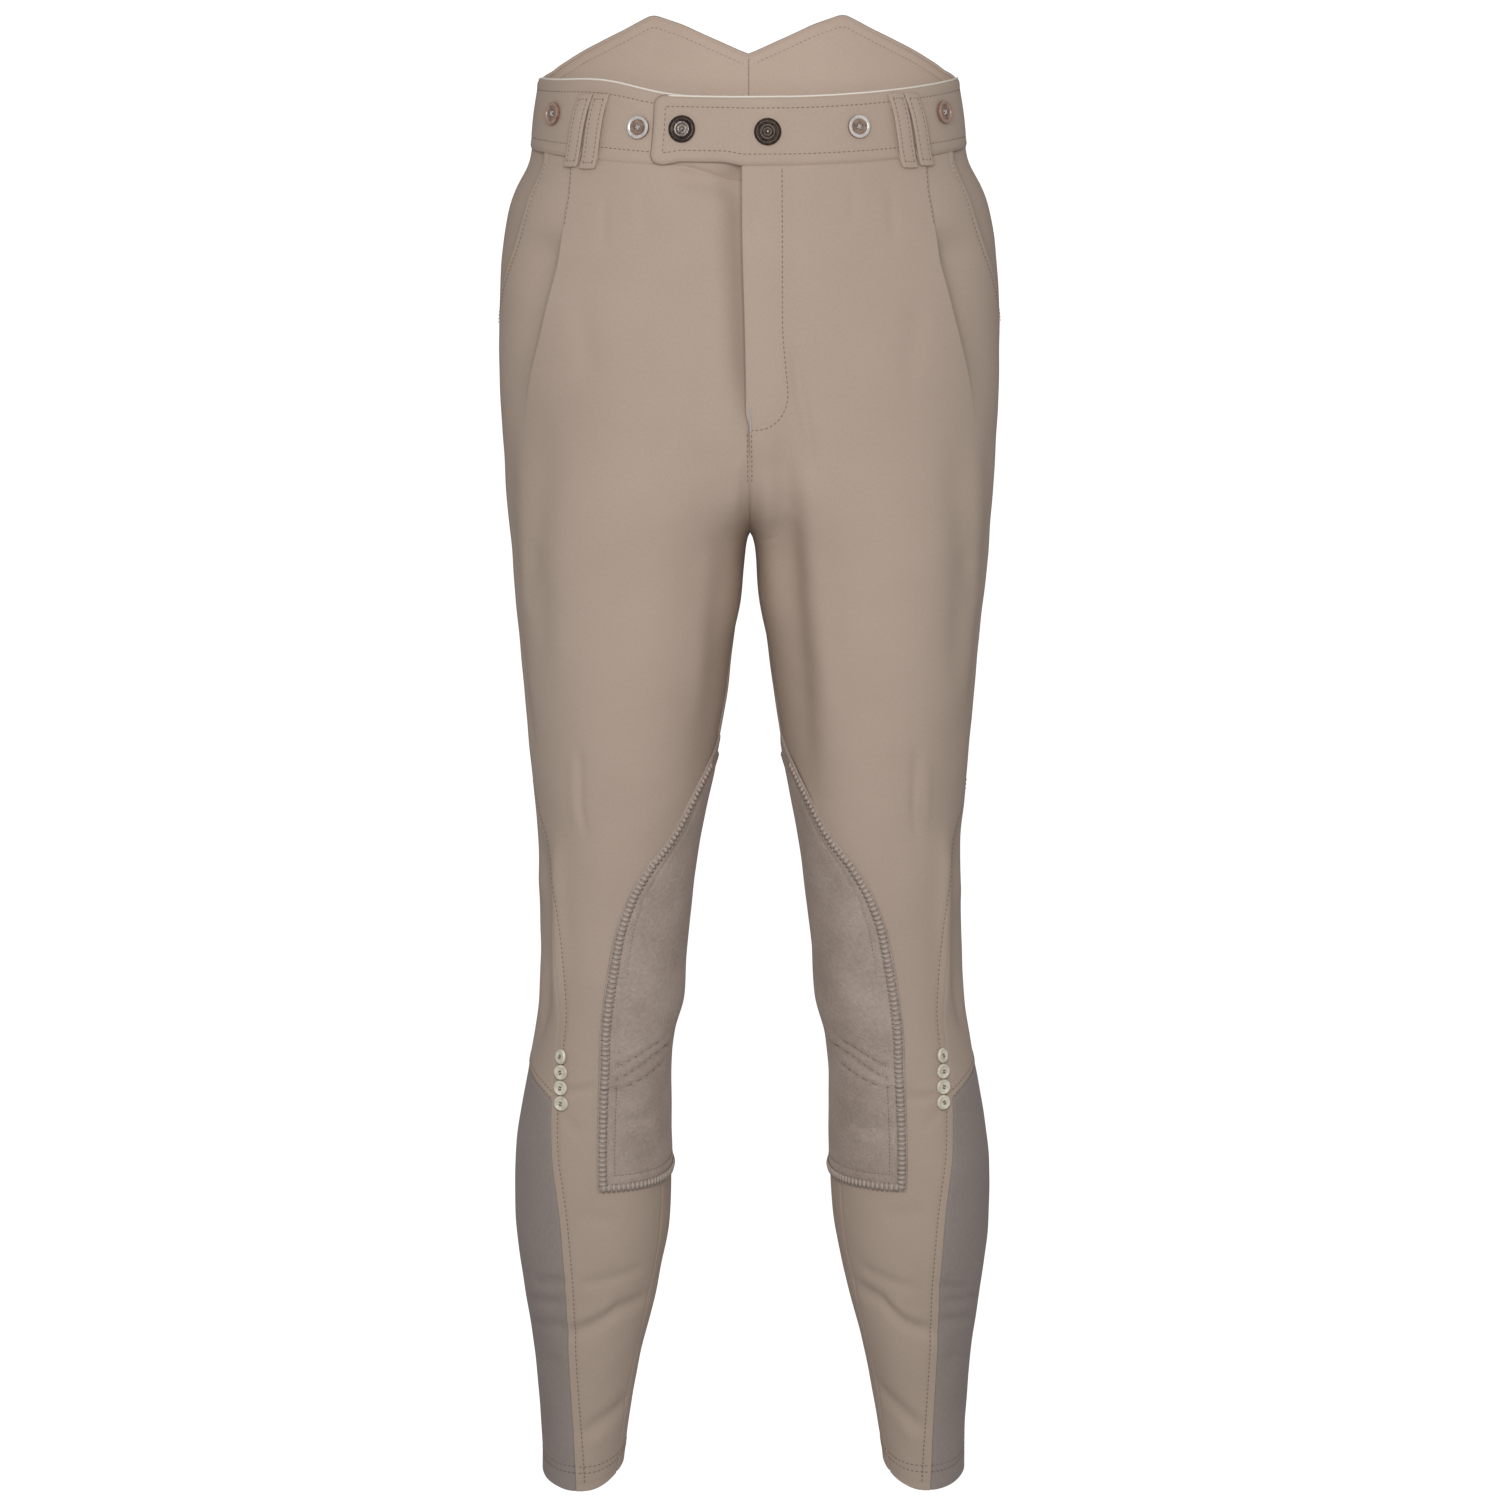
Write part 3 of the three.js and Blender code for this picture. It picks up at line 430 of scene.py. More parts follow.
def spread(rows, start, end, side, spacing=3.4, near=NEAR, soften=0.0):
    """Angles of evenly laid columns between two seam lines, and their distances along the cloth.
    soften is how far up and down, in mm, a bend of a seam is shared out among the columns away from it."""
    angles, along = fan_out(rows, start, end, side)
    soft_angles, soft_along = angles, along
    if soften:
        weights = np.exp(-0.5 * ((rows[:, None] - rows) / soften) ** 2) * np.abs(np.gradient(rows))
        weights /= weights.sum(axis=1, keepdims=True)
        soft_angles, soft_along = fan_out(rows, weights @ start, weights @ end, side)
    count = max(2, round((along[:, -1].max() - 2 * near[-1]) / spacing))
    share = np.linspace(0, 1, count + 1)
    out_angles, out_along = [], []
    for i in range(len(rows)):
        whole, soft_whole = along[i, -1], soft_along[i, -1]
        ends = near * min(1.0, 0.4 * whole / near[-1])
        edges = np.interp(np.concatenate([ends, whole - ends[::-1]]), along[i], angles[i])
        inset = near[-1] * min(1.0, 0.4 * soft_whole / near[-1])
        inside = np.interp(mix(inset, soft_whole - inset, share), soft_along[i], soft_angles[i])
        reach = share * (soft_whole - 2 * inset) / 45
        first = (edges[len(near) - 1] - inside[0]) * np.exp(-(reach**2)) * (1 - share**3)
        last = (edges[len(near)] - inside[-1]) * np.exp(-(reach[::-1] ** 2)) * (1 - share[::-1] ** 3)
        inside = (inside + first + last)[1:-1]
        row = np.concatenate([edges[:len(near)], inside, edges[len(near):]])
        out_angles.append(row)
        out_along.append(np.interp(row, angles[i], along[i]) if start[i] < end[i] else
                         np.interp(-row, -angles[i], along[i]))
    return np.array(out_angles), np.array(out_along)


def close_seam(face, along, rows, x, side):
    """Folds pull a seam off the middle plane. This brings it back there, less and less away from the seam.
    Near the crotch the two edges meet."""
    edge = np.argmin(along[0])
    x = x - 0.45 * ease((-232 - rows) / 16)
    off = (side * face[:, edge, 0] - x) * ease((rows + 297) / 4)
    face[..., 0] -= side * off[:, None] * bell(along, 10)


def edge_roll(along, depth=0.55):
    """Cloth turns in at a sewn edge."""
    along = np.asarray(along)
    ends = np.minimum(along, along.max(axis=-1, keepdims=True) - along)
    return -depth * bell(ends, ROLL)


def new_piece(name, points, faces):
    """A smooth object made of points in millimetres."""
    mesh = bpy.data.meshes.new(name)
    mesh.from_pydata((np.asarray(points) / 1000).tolist(), [], faces)
    mesh.polygons.foreach_set("use_smooth", np.ones(len(mesh.polygons), bool))
    mesh.update()
    piece = bpy.data.objects.new(name, mesh)
    bpy.context.collection.objects.link(piece)
    return piece


def shell(name, face, normal, wall, side, along, down, keep=None, swell=0.7):
    """A closed wall of cloth over a grid of points, with rounded edges. Rows run down and columns round.
    along and down are the places in the weave."""
    rows, columns = face.shape[:2]
    size = rows * columns
    if keep is None:
        keep = np.ones((rows - 1, columns - 1), bool)
    front = face.reshape(-1, 3)
    normals = normal.reshape(-1, 3)
    back = front - normals * wall
    number = np.arange(size).reshape(rows, columns)
    a, b, c, d = number[:-1, :-1], number[1:, :-1], number[1:, 1:], number[:-1, 1:]
    cells = np.stack([a, b, c, d], -1)[keep]
    padded = np.pad(keep, 1)
    inner = padded[1:-1, 1:-1]
    rims = [
        np.stack([d, a], -1)[inner & ~padded[:-2, 1:-1]],
        np.stack([b, c], -1)[inner & ~padded[2:, 1:-1]],
        np.stack([a, b], -1)[inner & ~padded[1:-1, :-2]],
        np.stack([c, d], -1)[inner & ~padded[1:-1, 2:]],
    ]
    rim = np.concatenate(rims)
    push = np.zeros((size, 3))
    sideways = np.cross(front[rim[:, 1]] - front[rim[:, 0]], normals[rim[:, 0]]) * side
    sideways /= np.linalg.norm(sideways, axis=1, keepdims=True) + 1e-9
    np.add.at(push, rim[:, 0], sideways)
    np.add.at(push, rim[:, 1], sideways)
    push /= np.linalg.norm(push, axis=1, keepdims=True) + 1e-9
    edge = (front + back) / 2 + push * wall * 0.5 * swell
    p, q = rim[:, 0], rim[:, 1]
    faces = np.concatenate([
        cells,
        cells[:, ::-1] + size,
        np.stack([q, p, p + 2 * size, q + 2 * size], -1),
        np.stack([q + 2 * size, p + 2 * size, p + size, q + size], -1),
    ])
    if side < 0:
        faces = faces[:, ::-1]
    weave = np.stack(np.broadcast_arrays(along, down), -1)
    coords = np.tile(weave.reshape(-1, 2), (3, 1)) / 1000
    used, inverse = np.unique(faces, return_inverse=True)
    piece = new_piece(name, np.concatenate([front, back, edge])[used], inverse.reshape(-1, 4).tolist())
    mesh = piece.data
    mesh.uv_layers.new(name="weave")
    corners = np.empty(len(mesh.loops), np.int32)
    mesh.loops.foreach_get("vertex_index", corners)
    mesh.uv_layers["weave"].data.foreach_set("uv", coords[used][corners].ravel())
    return piece


def hold(slot, *pieces):
    """Puts pieces in the one body."""
    for piece in pieces:
        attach(piece, "root")


def sewn(piece, node, slot, material, lines=()):
    """Gives a cloth piece its material and its stitching, and puts it in its node's place."""
    piece.data.materials.append(material)
    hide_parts(node)
    hold(slot, piece)
    threads = [thread_piece(f"{node}_stitching", lines, thread, slot)] if lines else []


def thread_line(points, normals, pitch=3.4, stitch=2.3, width=0.62, height=0.42, bury=0.08):
    """Stitches along a line on the cloth, each a small capsule of thread. Gives vertices and faces."""
    lengths = np.linalg.norm(np.diff(points, axis=0), axis=1)
    along = np.concatenate([[0], np.cumsum(lengths)])
    count = max(1, int(along[-1] // pitch))
    at = (np.arange(count) + 0.5) * along[-1] / count

    def passing(values, places):
        return np.stack([np.interp(places, along, values[:, k]) for k in range(3)], -1)

    middle, up = passing(points, at), passing(normals, at)
    run = passing(points, at + 0.5) - passing(points, at - 0.5)
    run /= np.linalg.norm(run, axis=1, keepdims=True)
    across = np.cross(up, run)
    across /= np.linalg.norm(across, axis=1, keepdims=True)
    up = np.cross(run, across)
    turns = np.radians([90, 18, -54, -126, 162])
    shape = [(-0.5, 0.0, -0.5)]
    for place in (-0.3, 0.3):
        shape += [(place, 0.5 * math.cos(t), 0.5 * math.sin(t)) for t in turns]
    shape.append((0.5, 0.0, -0.5))
    shape = np.array(shape) * (stitch, width, height)
    verts = (middle[:, None] + run[:, None] * shape[None, :, :1] + across[:, None] * shape[None, :, 1:2]
             + up[:, None] * (shape[None, :, 2:] + height / 2 - bury))
    faces = [(0, 1 + (k + 1) % 5, 1 + k) for k in range(5)]
    faces += [(1 + k, 1 + (k + 1) % 5, 6 + (k + 1) % 5, 6 + k) for k in range(5)]
    faces += [(11, 6 + k, 6 + (k + 1) % 5) for k in range(5)]
    faces = [tuple(i + len(shape) * n for i in f) for n in range(count) for f in faces]
    return verts.reshape(-1, 3), faces


def stitches(angle, level, side, lift=0.05, pleat=0.0, **size):
    """Stitches on the cloth, along a line of angles and heights."""
    return thread_line(*cloth(angle, level, side, lift, pleat), **size)


def hem_stitches(start, end, count, side, lift=0.05):
    """The rows of stitches above the hem, between two angles."""
    around = np.linspace(start + 1, end - 1, count)
    return [stitches(around, row_height(HEM + up, around, side), side, lift) for up in HEM_STITCHES]


def thread_piece(name, lines, material, slot):
    """One object for all the stitching of a piece."""
    verts, faces = [], []
    for line_verts, line_faces in lines:
        start = sum(len(v) for v in verts)
        verts.append(line_verts)
        faces += [tuple(i + start for i in f) for f in line_faces]
    piece = new_piece(name, np.concatenate(verts), faces)
    piece.data.materials.append(material)
    hold(slot, piece)
    return piece


def shade_of(red, green, blue):
    """Linear colour from the usual 0 to 255 values."""
    return [*(((c / 255 + 0.055) / 1.055) ** 2.4 for c in (red, green, blue)), 1.0]


def feed(tree, node, inputs):
    """Sets a node's inputs: another node's output is linked, and a number or colour is set."""
    for socket, value in inputs.items():
        if isinstance(value, bpy.types.NodeSocket):
            tree.links.new(value, node.inputs[socket])
        else:
            node.inputs[socket].default_value = value
    return node


def add(tree, kind, inputs):
    return feed(tree, tree.nodes.new(f"ShaderNode{kind}"), inputs)


def new_finish(name, inputs):
    """A new material with what is the same all over set on its shader. Gives its tree and shader too."""
    material = bpy.data.materials.new(name)
    material.use_nodes = True
    tree = material.node_tree
    return material, tree, feed(tree, tree.nodes["Principled BSDF"], inputs)


def scaled(tree, value, by, plus):
    """One value times a second, plus a third."""
    step = add(tree, "Math", {0: value, 1: by, 2: plus})
    step.operation = "MULTIPLY_ADD"
    return step.outputs["Value"]


def ramp(tree, value, stops):
    """A colour for a value, by stops of place and colour."""
    tone = add(tree, "ValToRGB", {"Fac": value})
    first, last = tone.color_ramp.elements
    first.position, first.color = stops[0]
    last.position, last.color = stops[-1]
    for place, colour in stops[1:-1]:
        tone.color_ramp.elements.new(place).color = colour
    return tone.outputs["Color"]


def woven(name, base, dark, light, pitch, depth, roughness, sheen, slub, wear=0.4, distortion=0.6):
    """A cloth finish: a fine diagonal rib, uneven yarn, and slow changes of tone from wear and washing."""
    material, tree, shader = new_finish(name, {
        "Roughness": roughness, "Sheen Weight": sheen, "Sheen Roughness": 0.45, "Sheen Tint": light,
        "Specular IOR Level": 0.22,
    })
    where = add(tree, "UVMap", {})
    where.uv_map = "weave"
    rib = add(tree, "TexWave", {
        "Vector": where.outputs["UV"], "Scale": 0.6283 / (pitch / 1000), "Distortion": distortion,
        "Detail": 1.0, "Detail Scale": 0.4,
    })
    rib.wave_type = "BANDS"
    rib.bands_direction = "DIAGONAL"
    drawn_out = add(tree, "Mapping", {"Vector": where.outputs["UV"], "Scale": (*slub, 1)})
    yarn = add(tree, "TexNoise", {
        "Vector": drawn_out.outputs["Vector"], "Scale": 1.0, "Detail": 4, "Roughness": 0.65,
    })
    place = add(tree, "TexCoord", {})
    patches = add(tree, "TexNoise", {
        "Vector": place.outputs["Object"], "Scale": 9 + 21 * (wear > 0.5), "Detail": 5, "Roughness": 0.55,
    })
    worn = scaled(tree, patches.outputs["Fac"], wear, 0.25 - wear / 2)
    blend = scaled(tree, yarn.outputs["Fac"], 0.5, worn)
    ribbed = scaled(tree, rib.outputs["Fac"], 0.1, blend)
    height = scaled(tree, yarn.outputs["Fac"], 0.6, rib.outputs["Fac"])
    bump = add(tree, "Bump", {"Height": height, "Strength": 0.5, "Distance": depth / 1000})
    feed(tree, shader, {
        "Base Color": ramp(tree, ribbed, [(0.3, dark), (0.5, base), (0.72, light)]),
        "Normal": bump.outputs["Normal"],
    })
    return material


def mottled(name, dark, light, roughness, scale):
    """A matt finish of two tones in fine grains."""
    material, tree, shader = new_finish(name, {"Roughness": roughness})
    grains = add(tree, "TexNoise", {"Scale": scale})
    feed(tree, shader, {"Base Color": ramp(tree, grains.outputs["Fac"], [(0, dark), (1, light)])})
    return material


def polished(name, dark, light, roughness, metallic=0.0, scale=300, coat=0.0, bump=0.00004):
    """A hard finish with a slight mottle and fine scratches in its gloss."""
    material, tree, shader = new_finish(name, {
        "Metallic": metallic, "Coat Weight": coat, "Coat Roughness": 0.15,
    })
    place = add(tree, "TexCoord", {})
    mottle = add(tree, "TexNoise", {"Vector": place.outputs["Object"], "Scale": scale, "Detail": 5})
    value = mottle.outputs["Fac"]
    gloss = add(tree, "MapRange", {"Value": value, "To Min": roughness * 0.75, "To Max": roughness * 1.25})
    relief = add(tree, "Bump", {"Height": value, "Strength": 0.6, "Distance": bump})
    feed(tree, shader, {
        "Base Color": ramp(tree, value, [(0.32, dark), (0.68, light)]),
        "Roughness": gloss.outputs["Result"],
        "Normal": relief.outputs["Normal"],
    })
    return material


twill = woven("cotton twill", shade_of(184, 165, 150), shade_of(176, 157, 142), shade_of(192, 173, 158),
              0.95, 0.14, 0.86, 0.12, (900, 420))
# the thread is a little darker than the cloth, and its colour is darkened further as painted shade of its
# needle holes and of the dips between stitches
thread = mottled("sewing thread", shade_of(118, 101, 90), shade_of(156, 138, 124), 0.6, 900)
pale_thread = polished("pale thread", shade_of(192, 187, 184), shade_of(218, 213, 210), 0.7, scale=1500)
WAIST_ROLL = np.array([[0.6], [0.35]])  # the turn of the two rows at the waist seam
UNDERLAP = 18  # how far the right half runs on under the left one
FLY_TOP = -38  # the fly's topstitching: its ends, where it starts to hook in, and how far it is from the fly
FLY_HOOK = -186
FLY_FOOT = -215
FLY_ACROSS = 22.6
FLY_STRAIGHT = 0.72  # of its length
front_rows = WAIST_ROW - stations(WAIST_ROW - HEM, ROW_SPACING)
for side, hand in HANDS.items():
    lap = 2.4 + 2.2 * ease((front_rows + 190) / 130) if side > 0 else UNDERLAP
    lap = lap * ease((front_rows + 216) / 14)
    inner = middle_edge(front_rows, GAP - lap, -1)
    pleat_line = look_up(pleat_at, front_rows)
    side_line = look_up(side_seam_at, front_rows)
    mouth = np.minimum(look_up(pocket_at, front_rows), side_line)
    outer = np.where(front_rows > POCKET_END, mouth, side_line) - GAP / per_degree(front_rows)
    # the pleat's layer behind starts a little way in under the one before it, where the pleat is open
    tucked = ease((pleat_drop(front_rows) - 1.7) / 2)
    one = per_degree(front_rows)
    inner_angles, inner_along = spread(front_rows, inner, pleat_line, side, soften=20)
    outer_angles, outer_along = spread(front_rows, pleat_line + 0.45 * (1 - tucked) / one, outer, side)
    fold = np.stack([mix(0.15, 0.35, tucked), mix(0.3, -2.6, tucked)], 1) / one[:, None]
    angles = np.concatenate([inner_angles, pleat_line[:, None] + fold, outer_angles], axis=1)
    before = inner_angles.shape[1]
    after = before + 2
    heights = row_height(front_rows[:, None], angles, side)
    heights[0] -= GAP
    pleats = pleat_lift(angles, heights, np.arange(angles.shape[1]) > before)
    pleats[:, before] -= 0.5 * pleat_drop(front_rows)
    from_mouth = outer_along.max(axis=1, keepdims=True) - outer_along
    puff = 0.9 * np.exp(-from_mouth / 9) * ease((front_rows[:, None] - POCKET_END) / 30)
    rolls = np.zeros_like(angles)
    rolls[:, :before] = edge_roll(inner_along) * (inner_along < 20)
    rolls[:, after:] = edge_roll(outer_along) * (outer_along > 20)
    rolls[:, after:] += puff - 0.28 * bell(from_mouth - SEAM_STITCH, ROLL)
    rolls[:2] -= WAIST_ROLL
    rolls[-7:-4] -= 0.18
    face, normal = cloth(angles, heights, side, rolls, pleats)
    from_middle = np.concatenate([inner_along, np.full((len(front_rows), 2), 99.0), outer_along + 99], axis=1)
    close_seam(face, from_middle, front_rows, GAP - lap, side)
    # the weave is measured from the pleat, both ways
    under = tucked[:, None]
    along = np.concatenate([inner_along - inner_along[:, -1:], mix(0.15, 0.4, under), mix(0.3, 1.2, under),
                            outer_along + mix(0.45, 3, under)], axis=1)
    front = shell(f"front_{hand}_cloth", face, normal, TWILL, side, along, heights)

    def front_line(angle, level, lift=0.05):
        return stitches(angle, level, side, lift, pleat_lift(angle, level))

    mouth_levels = np.linspace(-33, -146, 60)
    shut = np.linspace(-36, -76, 24)
    seam_levels = np.linspace(-470, -990, 240)
    joined = np.linspace(-217, -252, 30)
    beside_mouth = look_up(pocket_at, mouth_levels) - SEAM_STITCH / per_degree(mouth_levels)
    beside_seam = look_up(side_seam_at, seam_levels) - SEAM_STITCH / per_degree(seam_levels)
    lines = [
        front_line(beside_mouth, mouth_levels, 0.4),
        front_line(look_up(pleat_at, shut) - 1.0 / per_degree(shut), shut),
        front_line(beside_seam, seam_levels),
        *hem_stitches(inner[-1], outer[-1], 60, side),
    ]
    if side > 0:
        # the fly's topstitching runs down beside it and hooks in to its lower end
        travel = np.linspace(0, 1, 140)
        hooked = travel > FLY_STRAIGHT
        bend = np.clip((travel - FLY_STRAIGHT) / (1 - FLY_STRAIGHT), 0, 1) * math.pi / 2
        fly = np.where(hooked, mix(FLY_HOOK, FLY_FOOT, np.sin(bend) ** 0.9),
                       mix(FLY_TOP, FLY_HOOK, travel / FLY_STRAIGHT))
        fly_across = FLY_ACROSS + 4.2 * ease((travel - 0.5) / 0.3)
        fly_across = np.where(hooked, fly_across * np.cos(bend) ** 0.75, fly_across)
        lines.append(front_line(middle_edge(fly, fly_across, -1), fly))
    lines.append(front_line(middle_edge(joined, 1.5, -1), joined))
    tacks = []
    if side > 0:
        tacked = np.linspace(-199, -216, 24)
        tack = stitches(middle_edge(tacked, 0.9, -1), tacked, side, 0.15, pitch=0.75, stitch=0.8, width=1.4,
                        height=0.7)
        tacks = [thread_piece("fly_bar_tack", [tack], pale_thread, "twill")]
    sewn(front, f"front_{hand}", "twill", twill, lines)
    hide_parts(f"front_shin_{hand}")

# Backs
# Each back is twill from the waist seam down, joined along the double-stitched seat seam. Below the knee it
# narrows to a strip at the inseam, and the stretch calf panel takes the rest of its width.
CALF_SHARE = 0.6
CALF_STITCHES = (1.9, 7.0)
SEAT_STITCHES = (2.2, 7.0)


def back_lines(rows):
    start = look_up(side_seam_at, rows) + GAP / per_degree(rows)
    end = middle_edge(rows, GAP, 1)
    return start, mix(start, end, CALF_SHARE), end


back_foot = CALF_TOP + GAP
back_rows = np.concatenate([WAIST_ROW - stations(WAIST_ROW - back_foot, ROW_SPACING),
                            back_foot - stations(back_foot - HEM, ROW_SPACING)[1:]])
for side, hand in HANDS.items():
    start, split, end = back_lines(back_rows)
    part = GAP / per_degree(back_rows)
    outer_angles, outer_along = spread(back_rows, start, split + part, side, soften=20)
    inner_angles, inner_along = spread(back_rows, split + part, end, side, soften=20)
    angles = np.concatenate([outer_angles, inner_angles[:, 1:]], axis=1)
    along = np.concatenate([outer_along, inner_along[:, 1:] + outer_along[:, -1:]], axis=1)
    heights = row_height(back_rows[:, None], angles, side)
    heights[0] -= GAP
    cut = outer_angles.shape[1] - 1
    keep = np.ones((len(back_rows) - 1, angles.shape[1] - 1), bool)
    keep[back_rows[:-1] < back_foot + 0.05, :cut] = False
    rolls = edge_roll(along)
    below = (back_rows[:, None] < back_foot + 0.05) & (np.arange(angles.shape[1]) >= cut)
    rolls -= np.where(below, 0.5 * bell(along - along[:, cut:cut + 1], ROLL), 0)
    above = (back_rows[:, None] > back_foot - 17) & (np.arange(angles.shape[1]) <= cut)
    rolls -= np.where(above, 0.5 * bell(back_rows[:, None] - back_foot, ROLL), 0)
    rolls[:2] -= WAIST_ROLL
    face, normal = cloth(angles, heights, side, rolls)
    close_seam(face, along[:, -1:] - along, back_rows, GAP, side)
    back = shell(f"back_{hand}_cloth", face, normal, TWILL, side, along, heights, keep)
    seat = np.linspace(WAIST_ROW, CROTCH + 2, 130)
    seat_levels = row_height(seat, 90, side)
    lines = [stitches(middle_edge(seat, inset, 1), seat_levels, side) for inset in SEAT_STITCHES]
    calf_start, calf_split, _ = back_lines(np.array([CALF_TOP]))
    around = np.linspace(calf_start[0] + 0.6, calf_split[0], 100)
    lines += [stitches(around, row_height(CALF_TOP + up, around, side), side) for up in CALF_STITCHES]
    lines += hem_stitches(split[-1], end[-1], 40, side)
    sewn(back, f"back_{hand}", "twill", twill, lines)
    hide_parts(f"back_shin_{hand}")

# Calf panels
# A smooth grey stretch knit at the outer back of each calf lets the leg slip into a boot. It is sewn in edge
# to edge, with its slanting top edge under two rows of stitching on the twill.
KNIT = 1.25
stretch = woven("grey stretch knit", shade_of(152, 140, 135), shade_of(140, 128, 123),
                shade_of(164, 152, 147), 0.8, 0.1, 0.72, 0.2, (900, 220))
calf_rows = CALF_TOP - GAP - stations(CALF_TOP - GAP - HEM, ROW_SPACING)
for side, hand in HANDS.items():
    start, split, end = back_lines(calf_rows)
    angles, along = spread(calf_rows, start, split - GAP / per_degree(calf_rows), side)
    heights = row_height(calf_rows[:, None], angles, side)
    rolls = edge_roll(along, 0.7)
    for up in HEM_STITCHES:
        rolls -= 0.5 * bell(calf_rows - HEM - up, 1.5)[:, None]
    rolls[:4] -= 0.7 * bell(calf_rows[:4] - calf_rows[0], ROLL)[:, None]
    face, normal = cloth(angles, heights, side, rolls + KNIT - TWILL)
    panel = shell(f"calf_panel_{hand}_knit", face, normal, KNIT, side, along, heights)
    sewn(panel, f"calf_panel_{hand}", "stretch", stretch,
         hem_stitches(start[-1], split[-1], 60, side, -0.5))

# Pocket facings
# The hip piece shows behind each slanted pocket mouth. It is tucked under the front's edge and lies flush
# with it again at the side seam.
TUCKED = -2.6
facing_rows = WAIST_ROW - stations(WAIST_ROW - POCKET_END, ROW_SPACING)
for side, hand in HANDS.items():
    one = per_degree(facing_rows)
    seam = -GAP / one
    mouth = np.minimum(look_up(pocket_at, facing_rows) - GAP / one, seam - 3 / one)
    start = mouth - 9 / one
    share = np.concatenate([np.linspace(-1, 0, 5), np.linspace(0, 1, 15)[1:]])
    under = mix(mouth[:, None], start[:, None], -share)
    angles = np.where(share < 0, under, mix(mouth[:, None], seam[:, None], share))
    rise = mix(TUCKED, 0, ease((facing_rows - POCKET_END) / 25))[:, None]
    lifts = np.where(share < 0, TUCKED, mix(TUCKED, rise, ease(share)))
    heights = row_height(facing_rows[:, None], angles, side)
    heights[0] -= GAP
    along = (angles - angles[:, :1]) * one[:, None]
    face, normal = cloth(angles, heights, side, lifts, pleat_lift(angles, heights))
    facing = shell(f"pocket_facing_{hand}_cloth", face, normal, TWILL, side, along, heights)
    sewn(facing, f"pocket_facing_{hand}", "twill", twill)

# Knee patches
# Suede grips the saddle, so each patch lies over the inseam from above the knee to the calf. Its edge is
# turned under, and beads of suede stand up between its two outer rows of stitches. Three tucks shape it at
# the knee.
SUEDE = 1.0
LAID = 0.2  # between the patch and the twill
PATCH_FACE = SUEDE + LAID
PATCH_TOP = -440
PATCH_FOOT = -765
PATCH_STITCHES = (1.2, 6.2, 12.5)
PATCH_BEADS = 3.5
PATCH_OUTLINE = [
    # height, angle of the front edge, angle of the back edge
    (-440, -172, 186), (-446, -166, 181), (-454, -157, 173), (-476, -141, 161), (-503, -125.7, 151),
    (-526, -108, 145), (-551, -96.7, 141), (-577, -90.6, 138), (-636, -85.7, 135), (-680, -90, 134),
    (-765, -94, 138),
]
TUCKS = [np.array(line[::-1]).T for line in (
    # angle and height along each tuck, from its front end
    [(-102.7, -669.7), (-112, -665.5), (-125, -659.5), (-139.8, -654.3)],
    [(-104.1, -679.4), (-118, -672), (-134.2, -664.4), (-158, -659.7)],
    [(-94.9, -686.4), (-103.5, -686.7), (-122, -681.9), (-145, -673.2)],
)]
patch_front_at = level_curve([(height, turn) for height, turn, _ in PATCH_OUTLINE], 1)
patch_back_at = level_curve([(height, turn) for height, _, turn in PATCH_OUTLINE], 1)


def tuck_relief(angle, height):
    """Each tuck is a soft step down, with its upper side standing over its lower one."""
    total = np.zeros(angle.shape)
    wrapped = (angle + 180) % 360 - 180
    for turns, levels in TUCKS:
        ends = ease((wrapped - turns[0] + 5) / 8) * (1 - ease((wrapped - turns[-1] - 1) / 4))
        below = soft_curve(turns, levels, wrapped) - height
        total += ends * (0.9 * bell(below + 2.6, 2.6) - 1.5 * bell(below - 0.8, 1.2))
    return total


def patch_border(inset, side):
    """The line at one distance inside the patch's front, bottom and back edges."""
    side_rows = np.linspace(-457, PATCH_FOOT + inset, 150)
    ahead = look_up(patch_front_at, side_rows) + 360 - inset / per_degree(side_rows)
    behind = look_up(patch_back_at, side_rows) + inset / per_degree(side_rows)
    bottom = np.linspace(ahead[-1], behind[-1], 120)[1:-1]
    turns = np.concatenate([ahead, bottom, behind[::-1]])
    levels = np.concatenate([side_rows, np.full(len(bottom), side_rows[-1]), side_rows[::-1]])
    return turns, row_height(levels, turns, side)


suede = woven("suede", shade_of(171, 155, 144), shade_of(149, 134, 124), shade_of(189, 174, 164),
              2.6, 0.12, 0.96, 0.35, (340, 340), wear=0.55, distortion=22)
bead_suede = polished("bead suede", shade_of(174, 159, 149), shade_of(197, 183, 173), 0.9, scale=900)
patch_near_rows = np.array([0, 0.6, 1.6, 3.0, 4.6, 6.4, 8.4, 10.4, 12.4, 14.4, 17.0])
patch_near = np.array([0, 0.5, 1.1, 1.8, 2.6, 3.4, 4.2, 5.0, 6.0, 7.4, 9.0, 10.4, 11.4, 12.6, 14.4])
patch_rows = PATCH_TOP - stations(PATCH_TOP - PATCH_FOOT, 2.6, patch_near_rows)
PATCH_RELIEF = [
    # distance from the edge, half width, height of each roll and groove along the border
    (PATCH_BEADS, 1.8, 0.35), (PATCH_STITCHES[2], 0.9, -0.6), (9, 2.2, 0.25), (0, 0.9, -0.6),
    (PATCH_STITCHES[1], 0.7, -0.3),
]
